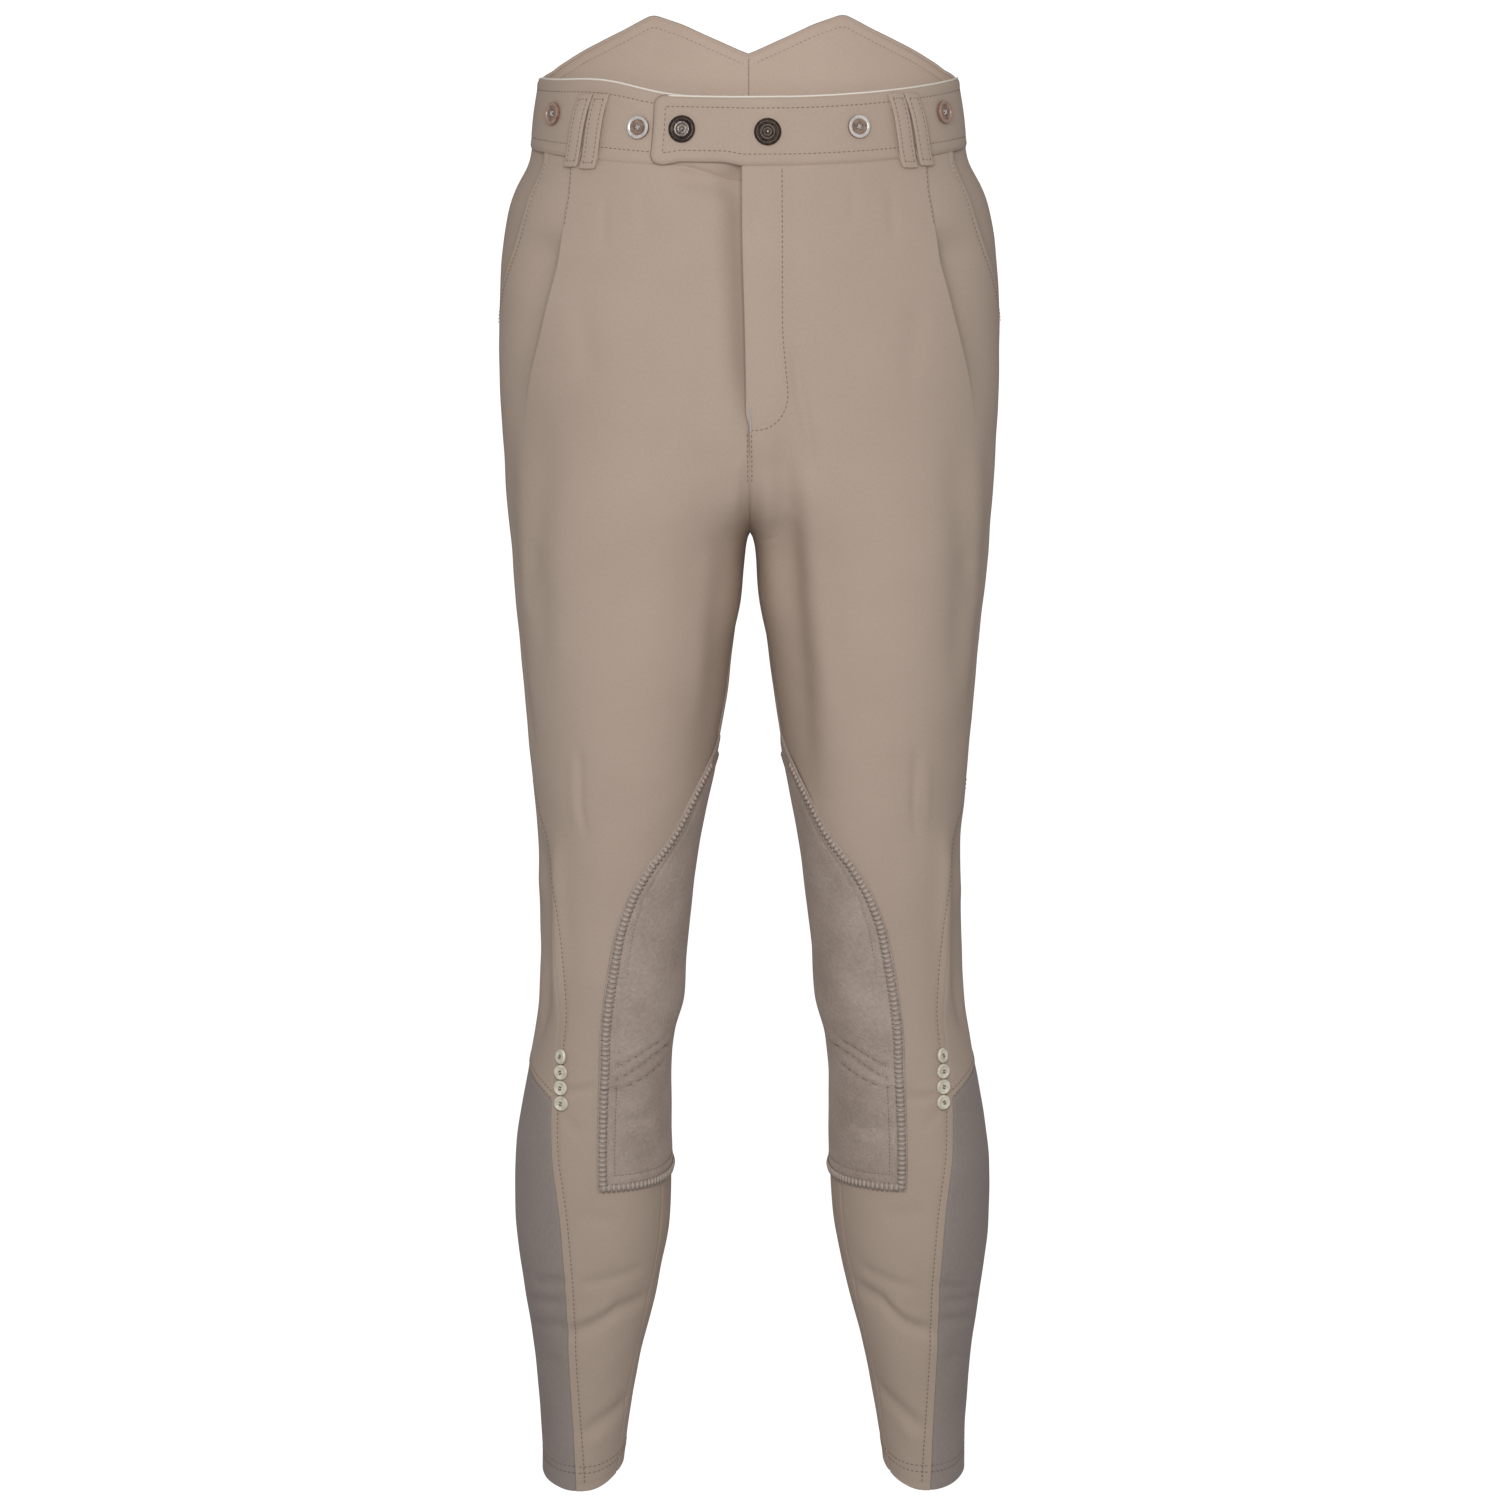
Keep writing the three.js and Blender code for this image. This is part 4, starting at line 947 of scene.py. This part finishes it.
for side, hand in HANDS.items():
    start = look_up(patch_back_at, patch_rows)
    end = look_up(patch_front_at, patch_rows) + 360
    angles, along = spread(patch_rows, start, end, side, 2.6, patch_near)
    heights = row_height(patch_rows[:, None], angles, side)
    edge = np.minimum(along, along.max(axis=1, keepdims=True) - along)
    edge = np.minimum(edge, patch_rows[:, None] - PATCH_FOOT)
    relief = sum(high * bell(edge - inset, width) for inset, width, high in PATCH_RELIEF)
    relief += tuck_relief(angles, heights)
    tip = mix(0.35, PATCH_FACE, ease((PATCH_TOP - patch_rows[:, None]) / 30))
    face, normal = cloth(angles, heights, side, relief + tip)
    patch = shell(f"knee_patch_{hand}_suede", face, normal, SUEDE, side, along, heights)
    lines = [stitches(*patch_border(inset, side), side, PATCH_FACE + 0.1, pitch=2.8, stitch=1.6)
             for inset in PATCH_STITCHES[:2]]
    lines.append(stitches(*patch_border(PATCH_STITCHES[2], side), side, PATCH_FACE - 0.5, pitch=2.8,
                          stitch=2.0, width=0.5))
    for turns, levels in TUCKS:
        at = np.linspace(turns[0], turns[-1], 50)
        lines.append(stitches(at, soft_curve(turns, levels, at) - 0.4, side, PATCH_FACE - 0.9, pitch=2.8,
                              stitch=2.6, width=0.9, height=0.5))
    # beads of suede stand up between the two outer rows of stitches
    beads = stitches(*patch_border(PATCH_BEADS, side), side, PATCH_FACE + 0.3, pitch=3.6, stitch=3.0,
                     width=6.4, height=2.2, bury=0.8)
    beading = thread_piece(f"knee_patch_{hand}_beading", [beads], bead_suede, "suede")
    sewn(patch, f"knee_patch_{hand}", "suede", suede, lines)

# Waistband
# The front waistband is two layers of twill with an interlining, topstitched round. Its left half ends in a
# tab with rounded corners that laps over the right half, and its inner facing shows as a pale line on top,
# made pale cream to paint the highlight along the band's top edge.
BAND = 2.4
BAND_LIFT = 0.8
BAND_TALL = 45
BAND_STITCH = 7
TAB_END = -112.6
TAB_CORNER = 6
PIPING = 0.8
band_near = np.array([0, 0.5, 1.1, 1.9, 3.0, 4.4, 6.0, 7.0, 8.2, 10.0])
FISHTAIL_EDGE = [(0, 23), (18, 30), (30, 39), (45, 52), (54, 60.5), (64, 72), (73, 65), (84, 52), (90, 44)]
FISHTAIL_TURNS = np.arange(0, 90.5, 0.5)
fishtail_heights = np.interp(FISHTAIL_TURNS, *np.array(FISHTAIL_EDGE, float).T)
fishtail_heights = np.pad(fishtail_heights, 3, mode="reflect", reflect_type="odd")
fishtail_heights = np.convolve(fishtail_heights, [1 / 7] * 7, "valid")


def band_top(angle, side):
    turn = np.sin(np.radians(angle))
    front = mix(24, 9.5, np.abs(turn) ** 1.6)
    if side < 0:
        # the right half stands a little higher near its loops, then dips to go under the tab
        across = form(np.asarray(angle, float), 15.0)[..., 0]
        front = front + 7.2 * bell(across - 101, 36) * ease(-angle / 14)
    return np.where(turn <= 0, front, np.interp(np.abs(angle), FISHTAIL_TURNS, fishtail_heights))


def band_place(angle, share, side, lift):
    low = waist_seam(angle, side) + GAP
    low = low + (2.6 * ease((-angle - 90) / 5) * (1 - ease((-angle - 104) / 6)) if side > 0 else 0)
    return cloth(angle, mix(band_top(angle, side), low, share), side, lift)


def band_lift(angle, side):
    """The left half rises to lap over the right half, which sinks to go under it."""
    if side > 0:
        return BAND_LIFT + 0.4 * ease((-angle - 75) / 10)
    return BAND_LIFT * (1 - ease((-angle - 62) / 6))


def band_edge(from_edge, depth=0.8):
    """The band's turned edges are thick and round, with a shallow groove along its topstitching."""
    return -depth * bell(from_edge, 1.1) - 0.35 * bell(from_edge - BAND_STITCH, 0.9)


# the facing edge's pale cream is partly the facing's own colour and partly a painted highlight of the band's
# top edge
cream = mottled("cream facing", shade_of(222, 212, 198), shade_of(246, 240, 230), 0.9, 700)
for side, hand in HANDS.items():
    one = per_degree(0)
    shares = stations(BAND_TALL, 3.0, band_near) / BAND_TALL
    from_edge = np.minimum(shares, 1 - shares) * BAND_TALL
    cut = np.maximum(0, TAB_CORNER - from_edge)
    rounded = TAB_CORNER - np.sqrt(TAB_CORNER**2 - cut**2)
    if side > 0:
        start = TAB_END + rounded / one
    else:
        start = np.full(len(shares), float(middle_edge(WAIST_ROW, GAP - UNDERLAP, -1)))
    end = -GAP / one
    wide = (end - start) * one
    fractions = stations(wide.max(), 3.2, band_near) / wide.max()
    angles = start[:, None] + (end - start)[:, None] * fractions
    along = (angles - start[:, None]) * one
    edges = np.minimum(from_edge[:, None], along if side > 0 else 40.0)
    lift = band_lift(angles, side) + band_edge(edges)
    face, normal = band_place(angles, shares[:, None], side, lift)
    band = shell(f"waistband_{hand}_cloth", face, normal, BAND, side, along, face[..., 2], swell=1.0)
    first = TAB_END + 6.6 / one if side > 0 else -80
    around = np.linspace(first, -0.8, 120)
    ends = (BAND_STITCH / BAND_TALL, 1 - BAND_STITCH / BAND_TALL)
    lines = [thread_line(*band_place(around, share, side, band_lift(around, side) - 0.3)) for share in ends]
    if side > 0:
        upright = np.linspace(*ends, 20)
        lines.append(thread_line(*band_place(first, upright, side, band_lift(first, side) - 0.3)))
    # the facing's edge, rolled up just over the top of the band; its pale cream paints the highlight along
    # the band's top edge
    piping_turns = np.linspace(-109 if side > 0 else -82, -0.5, 110)
    rounds = np.radians(np.arange(0, 360, 45))[:, None]
    piping_levels = band_top(piping_turns, side) + 0.6
    line, up = cloth(piping_turns, piping_levels, side, band_lift(piping_turns, side) - 1.5)
    ring = line[:, None] + PIPING * (np.cos(rounds) * up[:, None] + np.sin(rounds) * np.array([0, 0, 1.0]))
    number = np.arange(ring.shape[0] * ring.shape[1]).reshape(ring.shape[:2])
    across = np.roll(number, -1, axis=1)
    quads = np.stack([number[:-1], across[:-1], across[1:], number[1:]], -1).reshape(-1, 4)
    faces = [*quads.tolist(), number[0][::-1].tolist(), number[-1].tolist()]
    if side < 0:
        faces = [f[::-1] for f in faces]
    edge = new_piece(f"waistband_{hand}_facing_edge", ring.reshape(-1, 3), faces)
    edge.data.materials.append(cream)
    hold("twill", edge)
    sewn(band, f"waistband_{hand}", "twill", twill,
         lines)

# Fishtail
# The back of the waistband rises to a peak behind each hip, where the braces button on, and dips to a notch
# at the centre seam. Both its edges are topstitched, inside as well as out.
for side, hand in HANDS.items():
    one = float(per_degree(0))
    middle = float(middle_edge(0.0, GAP, 1))
    steps = stations((middle - 0.1) * one, 2.8, band_near)
    turns = GAP / one + steps / steps[-1] * (middle - GAP / one)
    shares = stations(70, 3.0, band_near) / 70
    tall = band_top(turns, side) - waist_seam(turns, side)
    from_edge = np.minimum(shares, 1 - shares)[:, None] * tall
    across = np.tile(steps, (len(shares), 1))
    lift = BAND_LIFT + band_edge(from_edge) + edge_roll(across)
    face, normal = band_place(turns + 0 * shares[:, None], shares[:, None], side, lift)
    tail = shell(f"fishtail_{hand}_cloth", face, normal, BAND, side, across, face[..., 2], swell=1.0)
    lines = []
    around = np.linspace(0.8, middle - 0.6, 140)
    for height in (band_top(around, side) - 7.5, waist_seam(around, side) + 5.0):
        lines.append(stitches(around, height, side, BAND_LIFT - 0.3))
        points, normals = cloth(around, height, side, BAND_LIFT - BAND)
        lines.append(thread_line(points, -normals))
    if side > 0:
        seam = np.linspace(float(waist_seam(90.0, side)) + 1, float(band_top(90.0, side)) - 2.5, 40)
        points, normals = cloth(middle_edge(seam, 0.2, 1), seam, side, BAND_LIFT - BAND - 0.55)
        lines.append(thread_line(points, -normals, pitch=1.7, stitch=1.6, width=0.7, height=0.5))
    sewn(tail, f"fishtail_{hand}", "twill", twill, lines)

# Belt loops
# Four pairs of narrow twill loops, close together at the top and apart at the bottom. Each is folded under at
# both ends, stitched across there and along both edges, and stands off the band between.
LOOP = 1.0
LOOP_WIDTH = 11.8
LOOP_TOP = 12
LOOP_BELOW = 6.5
LOOP_BOW = 2.4
LOOP_UNDER = 1.4  # from the hip's form to the middle of the cloth that is folded under
LOOP_ROUND = 0.52
LOOP_OVER = 2.45
LOOP_STITCH = 3.6  # from the loop's middle to the stitches along it
LOOP_ENDS = (0.06, 0.94)
LOOP_PAIRS = {
    # part of the band: name, angle at the top, angle at the bottom
    "front": [("inner", -49.9, -47.4), ("outer", -43.9, -40.6)],
    "back": [("inner", 55, 56), ("outer", 49, 49)],
}
one = per_degree(0)
across = np.array([-1, -0.93, -0.8, -0.6, -0.3, 0, 0.3, 0.6, 0.8, 0.93, 1]) * LOOP_WIDTH / 2
sag = -0.35 * (np.abs(across) / (LOOP_WIDTH / 2)) ** 6 - 0.25 * bell(np.abs(across) - LOOP_STITCH, 0.5)
# from under the folded end at the top, round it, over the face, and under again at the bottom
over = np.linspace(0, 1, 26)
bend = np.linspace(0, np.pi, 7)[1:-1]
under = np.linspace(0.2, 0.0, 5)
round_end = 0.012 * np.sin(bend)
travel = np.concatenate([under, -round_end, over, 1 + round_end, 1 - under[::-1]])


def loop_bow(share):
    return LOOP_BOW * np.sin(np.pi * np.asarray(share)) ** 0.7


round_lift = LOOP_UNDER + LOOP_ROUND - LOOP_ROUND * np.cos(bend)
lifts = np.concatenate([np.full(5, LOOP_UNDER), round_lift, LOOP_OVER + loop_bow(over), round_lift[::-1],
                        np.full(5, LOOP_UNDER)])
for side, hand in HANDS.items():
    for part, loops in LOOP_PAIRS.items():
        for loop, top_turn, bottom_turn in loops:
            length = LOOP_TOP + LOOP_BELOW - float(waist_seam(bottom_turn, 1))
            turns = mix(top_turn, bottom_turn, travel)[:, None] + across / one
            levels = LOOP_TOP - travel[:, None] * length + 0 * across
            middle, up = cloth(turns, levels, side, lifts[:, None])
            along, aside = np.gradient(middle, axis=0), np.gradient(middle, axis=1)
            normal = np.cross(aside, along) * -side
            normal /= np.linalg.norm(normal, axis=-1, keepdims=True)
            face = middle + normal * (LOOP / 2 + sag)[:, None]
            steps = np.linalg.norm(np.diff(middle[:, 5], axis=0), axis=1)
            down = -np.concatenate([[0], np.cumsum(steps)])
            name = f"belt_loop_{part}_{loop}_{hand}"
            webbing = shell(f"{name}_cloth", face, normal, LOOP, side, across, down[:, None], swell=0.9)
            lines = []
            run = np.linspace(0.05, 0.95, 40)
            for edge in (-LOOP_STITCH, LOOP_STITCH):
                lines.append(stitches(mix(top_turn, bottom_turn, run) + edge / one, LOOP_TOP - run * length,
                                      side, 2.7 + loop_bow(run), pitch=3.0, stitch=2.1))
            for end in LOOP_ENDS:
                turn = mix(top_turn, bottom_turn, end) + np.linspace(-4.4, 4.4, 12) / one
                lines.append(stitches(turn, LOOP_TOP - end * length, side, 2.85 + loop_bow(end), pitch=2.2,
                                      stitch=1.7))
            sewn(webbing, name, "twill", twill, lines)

# Brace buttons
# Braces fasten to four-hole buttons of brown corozo nut with a bright rim: two on each side of the front band
# and one at each peak of the fishtail. Crossed thread sews each one down.


def pick(piece):
    bpy.ops.object.select_all(action="DESELECT")
    bpy.context.view_layer.objects.active = piece
    piece.select_set(True)


def turned(name, profile, sides=48):
    """A round piece, raised from a disc by extruding and scaling its top face, by radii and heights."""
    radius, height = profile[0]
    bpy.ops.mesh.primitive_circle_add(vertices=sides, radius=radius / 1000, fill_type="NGON",
                                      location=(0, 0, height / 1000))
    piece = bpy.context.object
    piece.name = name
    bpy.ops.object.transform_apply(location=True)
    bpy.ops.object.mode_set(mode="EDIT")
    bpy.ops.mesh.select_all(action="SELECT")
    for (last_radius, last_height), (radius, height) in zip(profile, profile[1:]):
        step = (0, 0, (height - last_height) / 1000)
        bpy.ops.mesh.extrude_region_move(TRANSFORM_OT_translate={"value": step})
        scale = radius / last_radius
        bpy.ops.transform.resize(value=(scale, scale, 1), center_override=(0, 0, 0))
    bpy.ops.mesh.inset(thickness=profile[-1][0] / 2000)
    bpy.ops.mesh.select_all(action="SELECT")
    bpy.ops.mesh.normals_make_consistent(inside=False)
    bpy.ops.object.mode_set(mode="OBJECT")
    return piece


def drill(piece, places, radius):
    """Cuts round holes through a button."""
    for x, y in places:
        bpy.ops.mesh.primitive_cylinder_add(vertices=16, radius=radius / 1000, depth=0.02,
                                            location=(x / 1000, y / 1000, 0))
        bit = bpy.context.object
        cut = piece.modifiers.new("hole", "BOOLEAN")
        cut.operation = "DIFFERENCE"
        cut.solver = "EXACT"
        cut.object = bit
        pick(piece)
        bpy.ops.object.modifier_apply(modifier=cut.name)
        bpy.data.objects.remove(bit)


def smooth_by_angle(piece, degrees=32):
    pick(piece)
    bpy.ops.object.shade_smooth_by_angle(angle=math.radians(degrees))


def place_on_cloth(source, name, angle, height, side, lift, spin=0.0, tilt=0.0):
    """A copy of a round fastening with its own mesh, seated on the cloth along the outward normal."""
    point, normal = cloth(angle, height, side, lift)
    normal = normal.reshape(3)
    up = np.array([math.sin(tilt), 0.0, math.cos(tilt)])
    across = np.cross([0.0, 0.0, 1.0], normal)
    across /= np.linalg.norm(across)
    ahead = np.cross(normal, across)
    frame_of = np.stack([across, ahead, normal], 1)
    turn = np.array([[math.cos(spin), -math.sin(spin), 0], [math.sin(spin), math.cos(spin), 0], [0, 0, 1]])
    lean = np.array([[up[2], 0, up[0]], [0, 1, 0], [-up[0], 0, up[2]]])
    copy = source.copy()
    copy.data = source.data.copy()
    copy.name = name
    copy.data.name = name
    bpy.context.collection.objects.link(copy)
    points = np.empty(len(copy.data.vertices) * 3)
    copy.data.vertices.foreach_get("co", points)
    points = points.reshape(-1, 3) @ (frame_of @ turn @ lean).T + point.reshape(3) / 1000
    copy.data.vertices.foreach_set("co", points.ravel())
    copy.data.update()
    return copy


def cross_of_thread(name, holes, top, seat, colour, crossed=True):
    """Thread through the holes of a button, and its shank of thread down to the cloth."""
    verts, faces = [], []
    sides = np.radians([0, 72, 144, 216, 288])
    for layer, (a, b) in enumerate([(0, 2), (1, 3)] if crossed else [(0, 1), (3, 2)]):
        for offset in (-0.28, 0.28):
            start, end = np.array(holes[a], float), np.array(holes[b], float)
            run = (end - start) / np.linalg.norm(end - start)
            flat = np.array([-run[1], run[0], 0.0])
            start, end = start + flat[:2] * offset, end + flat[:2] * offset
            path = [(*start, seat), (*start, top + 0.1)]
            for share in (0.15, 0.5, 0.85):
                high = top + 0.35 + 0.25 * layer + 0.2 * math.sin(math.pi * share)
                path.append((*mix(start, end, share), high))
            path = np.array([*path, (*end, top + 0.1), (*end, seat)])
            first = len(verts)
            for i, centre in enumerate(path):
                step = path[min(i + 1, len(path) - 1)] - path[max(i - 1, 0)]
                other = np.cross(step / np.linalg.norm(step), flat)
                verts += [centre + 0.24 * (flat * math.cos(t) + other * math.sin(t)) for t in sides]
            rings = [[first + 5 * i + k for k in range(5)] for i in range(len(path))]
            for ring, after in zip(rings, rings[1:]):
                faces += [[ring[k - 1], ring[k], after[k], after[k - 1]] for k in (1, 2, 3, 4, 0)]
            faces += [rings[0][::-1], rings[-1]]
    piece = new_piece(name, verts, faces)
    pick(piece)
    bpy.ops.object.mode_set(mode="EDIT")
    bpy.ops.mesh.select_all(action="SELECT")
    bpy.ops.mesh.normals_make_consistent(inside=False)
    bpy.ops.object.mode_set(mode="OBJECT")
    piece.data.materials.append(colour)
    return piece


def fasten(node, slot, button, sewing, *where):
    """Seats a copy of a button and of its thread on the cloth, in the node's place.
    where is the angle, height, side, lift, spin and tilt."""
    button = place_on_cloth(button, f"{node}_turned", *where)
    sewing = place_on_cloth(sewing, f"{node}_thread", *where)
    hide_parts(node)
    hold(slot, button, sewing)
    return button


STAND_OFF = 0.4
corozo = polished("brown corozo", shade_of(120, 94, 80), shade_of(158, 134, 120), 0.4, coat=0.2)
bright_rim = polished("bright rim", shade_of(206, 198, 194), shade_of(238, 233, 230), 0.22, metallic=0.35)
brown_rim = polished("brown rim", shade_of(152, 121, 107), shade_of(182, 151, 137), 0.3, coat=0.3)
copper_edge = polished("copper edge", shade_of(140, 108, 93), shade_of(172, 138, 121), 0.35, metallic=0.4)
brace_profile = [
    # radius and height, from the foot of the edge in to the middle of the top
    (6.6, 0), (7.6, 0.25), (8.0, 0.9), (8.0, 1.7), (7.75, 2.5), (7.2, 2.95), (6.4, 3.0), (5.7, 2.75),
    (5.35, 2.2), (5.0, 1.85), (4.2, 1.75), (2.9, 1.7),
]
brace_button = turned("brace_button", brace_profile)
brace_holes = [(1.35, 1.35), (-1.35, 1.35), (-1.35, -1.35), (1.35, -1.35)]
drill(brace_button, brace_holes, 0.75)
smooth_by_angle(brace_button)
for finish in (corozo, bright_rim, copper_edge):
    brace_button.data.materials.append(finish)
for face in brace_button.data.polygons:
    reach = math.hypot(face.center.x, face.center.y) * 1000
    if reach > 7.4 and face.center.z < 0.0027:
        face.material_index = 2
    elif reach > 5.5 and face.center.z > 0.0021:
        face.material_index = 1
brace_thread = cross_of_thread("brace_thread", brace_holes, 1.75, -0.4, pale_thread)
BRACE_BUTTONS = [("front_inner", -62.8, -10), ("front_outer", -29, 0), ("back", 64, 46)]
for side, hand in HANDS.items():
    for number, (name, angle, height) in enumerate(BRACE_BUTTONS):
        spin = 0.35 + 0.5 * number + 0.9 * side
        button = fasten(f"brace_button_{name}_{hand}", "corozo", brace_button, brace_thread, angle, height,
                        side, BAND_LIFT + STAND_OFF, spin)
        if name != "front_inner":
            button.data.materials[1] = brown_rim

# Knee buttons
# A row of four small cream buttons closes the vent above each calf panel. They are sewn on close together,
# each with two stitches, and none sits quite level with the next.
KNEE_FIRST = -665.5
KNEE_PITCH = 11.3
cream_shell = polished("cream button", shade_of(206, 197, 176), shade_of(240, 234, 217), 0.3, coat=0.4)
knee_profile = [
    (4.2, 0), (5.0, 0.2), (5.4, 0.75), (5.4, 1.35), (5.2, 1.95), (4.8, 2.35), (4.3, 2.4), (3.8, 2.25),
    (3.4, 1.98), (2.8, 1.88), (1.9, 1.85),
]
knee_button = turned("knee_button", knee_profile, 40)
knee_holes = [(0.85, 0.85), (-0.85, 0.85), (-0.85, -0.85), (0.85, -0.85)]
drill(knee_button, knee_holes, 0.5)
smooth_by_angle(knee_button)
knee_button.data.materials.append(cream_shell)
knee_thread = cross_of_thread("knee_thread", knee_holes, 1.85, -0.4, thread, crossed=False)
for side, hand in HANDS.items():
    for i, lean in enumerate([0.3 * side, 0.06, -0.05 * side, 0.08]):
        height = KNEE_FIRST - KNEE_PITCH * i
        angle = float(look_up(side_seam_at, height) - (6 + 1.2 * i) / per_degree(height))
        fasten(f"knee_button_{i + 1}_{hand}", "shell", knee_button, knee_thread, angle, height, side,
               STAND_OFF, 0.4 * math.sin(2.3 * i + side), lean)

# Snaps
# Two dark metal snap caps close the tab over the right half of the band. Each is a stamped dome with plain
# rings and a ring of small beads.
gunmetal = polished("dark antique metal", shade_of(52, 43, 38), shade_of(86, 74, 67), 0.42, metallic=0.85,
                    scale=500)
worn_silver = polished("worn relief", shade_of(84, 76, 70), shade_of(146, 138, 131), 0.4, metallic=0.85,
                       scale=900)
SNAP_SCALE = 1.05
SNAP_BEADS = 31
snap_profile = [
    (8.0, 0), (8.7, 0.5), (8.8, 1.2), (8.4, 1.9), (7.7, 2.35), (6.9, 2.55), (6.3, 2.45), (6.0, 2.15),
    (5.6, 2.1), (5.3, 2.45), (4.9, 2.65), (4.4, 2.75), (4.1, 2.6), (3.7, 2.6), (3.3, 2.95), (2.6, 3.15),
    (2.1, 3.15), (1.8, 2.95), (1.4, 2.95), (1.1, 3.25), (0.5, 3.35),
]
# name, angle, height, and the radius within which the relief is worn bright
SNAPS = [("snap_tab", -105, -11.5, 5.2), ("snap_band", -86.2, -13.5, 0.8)]
for node, angle, level, silvered in SNAPS:
    cap = turned(f"{node}_cap", [(radius * SNAP_SCALE, height) for radius, height in snap_profile])
    bpy.ops.object.select_all(action="DESELECT")
    bpy.ops.mesh.primitive_uv_sphere_add(segments=8, ring_count=6, radius=0.00045,
                                         location=(0.0073, 0, 0.00235))
    bpy.ops.object.transform_apply(location=True)
    bpy.ops.object.mode_set(mode="EDIT")
    bpy.ops.mesh.select_all(action="SELECT")
    bpy.ops.mesh.spin(steps=SNAP_BEADS - 1, dupli=True, angle=math.tau * (SNAP_BEADS - 1) / SNAP_BEADS,
                      center=(0, 0, 0), axis=(0, 0, 1))
    bpy.ops.object.mode_set(mode="OBJECT")
    cap.select_set(True)
    bpy.context.view_layer.objects.active = cap
    bpy.ops.object.join()
    smooth_by_angle(cap, 40)
    cap.data.materials.append(gunmetal)
    cap.data.materials.append(worn_silver)
    for face in cap.data.polygons:
        reach = math.hypot(face.center.x, face.center.y) * 1000
        if reach < silvered and face.center.z > 0.0025:
            face.material_index = 1
    fastened = place_on_cloth(cap, f"{node}_turned", angle, level, 1, BAND_LIFT + 0.4 + STAND_OFF, 0.3)
    bpy.data.objects.remove(cap)
    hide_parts(node)
    hold("gunmetal", fastened)
for pattern in (brace_button, brace_thread, knee_button, knee_thread):
    bpy.data.objects.remove(pattern)

# Floor, light and camera
# A pale floor curves up behind. One large soft light stands high in front, so the cloth darkens towards its
# sides and down the legs, a small lamp lights the inside of the back, and a weak even light fills the rest.
# The camera looks slightly down at the front.
FLOOR = -1.16
FLOOR_FLAT = 7.5
FLOOR_BEND = 0.955
bpy.ops.mesh.primitive_grid_add(x_subdivisions=2, y_subdivisions=48, size=1, location=(0, 0, 0))
floor = bpy.context.object
floor.name = "floor"
for vertex in floor.data.vertices:
    along = (vertex.co.y + 0.5) * 11
    turn = min(max((along - FLOOR_FLAT) / 1.5, 0), 1) * math.pi / 2
    vertex.co.x *= 14
    vertex.co.y = min(along, FLOOR_FLAT) - 4.5 + FLOOR_BEND * math.sin(turn)
    vertex.co.z = FLOOR + FLOOR_BEND * (1 - math.cos(turn)) + max(along - FLOOR_FLAT - 1.5, 0) * 1.6
floor.data.update()
pick(floor)
bpy.ops.object.shade_smooth()
paper, _, _ = new_finish("pale paper", {
    "Base Color": (0.9, 0.9, 0.9, 1), "Roughness": 0.9, "Emission Color": (1, 1, 1, 1),
    "Emission Strength": 0.75,
})
floor.data.materials.append(paper)
floor.visible_diffuse = False
floor.visible_glossy = False

world = bpy.data.worlds.new("studio")
bpy.context.scene.world = world
world.use_nodes = True
world.node_tree.nodes["Background"].inputs["Color"].default_value = (1, 1, 1, 1)
world.node_tree.nodes["Background"].inputs["Strength"].default_value = 0.36


def soft_light(name, place, aim, size, power):
    lamp = bpy.data.lights.new(name, "AREA")
    lamp.shape = "SQUARE"
    lamp.size = size
    lamp.energy = power
    stand = bpy.data.objects.new(name, lamp)
    bpy.context.collection.objects.link(stand)
    stand.location = place
    away = np.subtract(place, aim)
    stand.rotation_euler = (math.acos(away[2] / np.linalg.norm(away)), 0, math.atan2(away[0], -away[1]))


soft_light("key", (-0.05, -1.74, 0.2), (0, 0, -0.33), 0.7, 16)
soft_light("inside", (0, -0.07, -0.02), (0, 0.105, 0.06), 0.12, 0.11)

DISTANCE = 2.81
DOWNWARD = math.radians(8.5)
TURNED = math.radians(0.2)
AIM = (0.0009, 0, -0.453)
LENS = 93.33
camera = bpy.data.objects.new("camera", bpy.data.cameras.new("camera"))
bpy.context.collection.objects.link(camera)
camera.data.lens = LENS
camera.data.sensor_width = 36
camera.location = (AIM[0], AIM[1] - DISTANCE * math.cos(DOWNWARD), AIM[2] + DISTANCE * math.sin(DOWNWARD))
camera.rotation_euler = (math.pi / 2 - DOWNWARD, TURNED, 0)
bpy.context.scene.camera = camera
bpy.context.scene.view_settings.view_transform = "Standard"
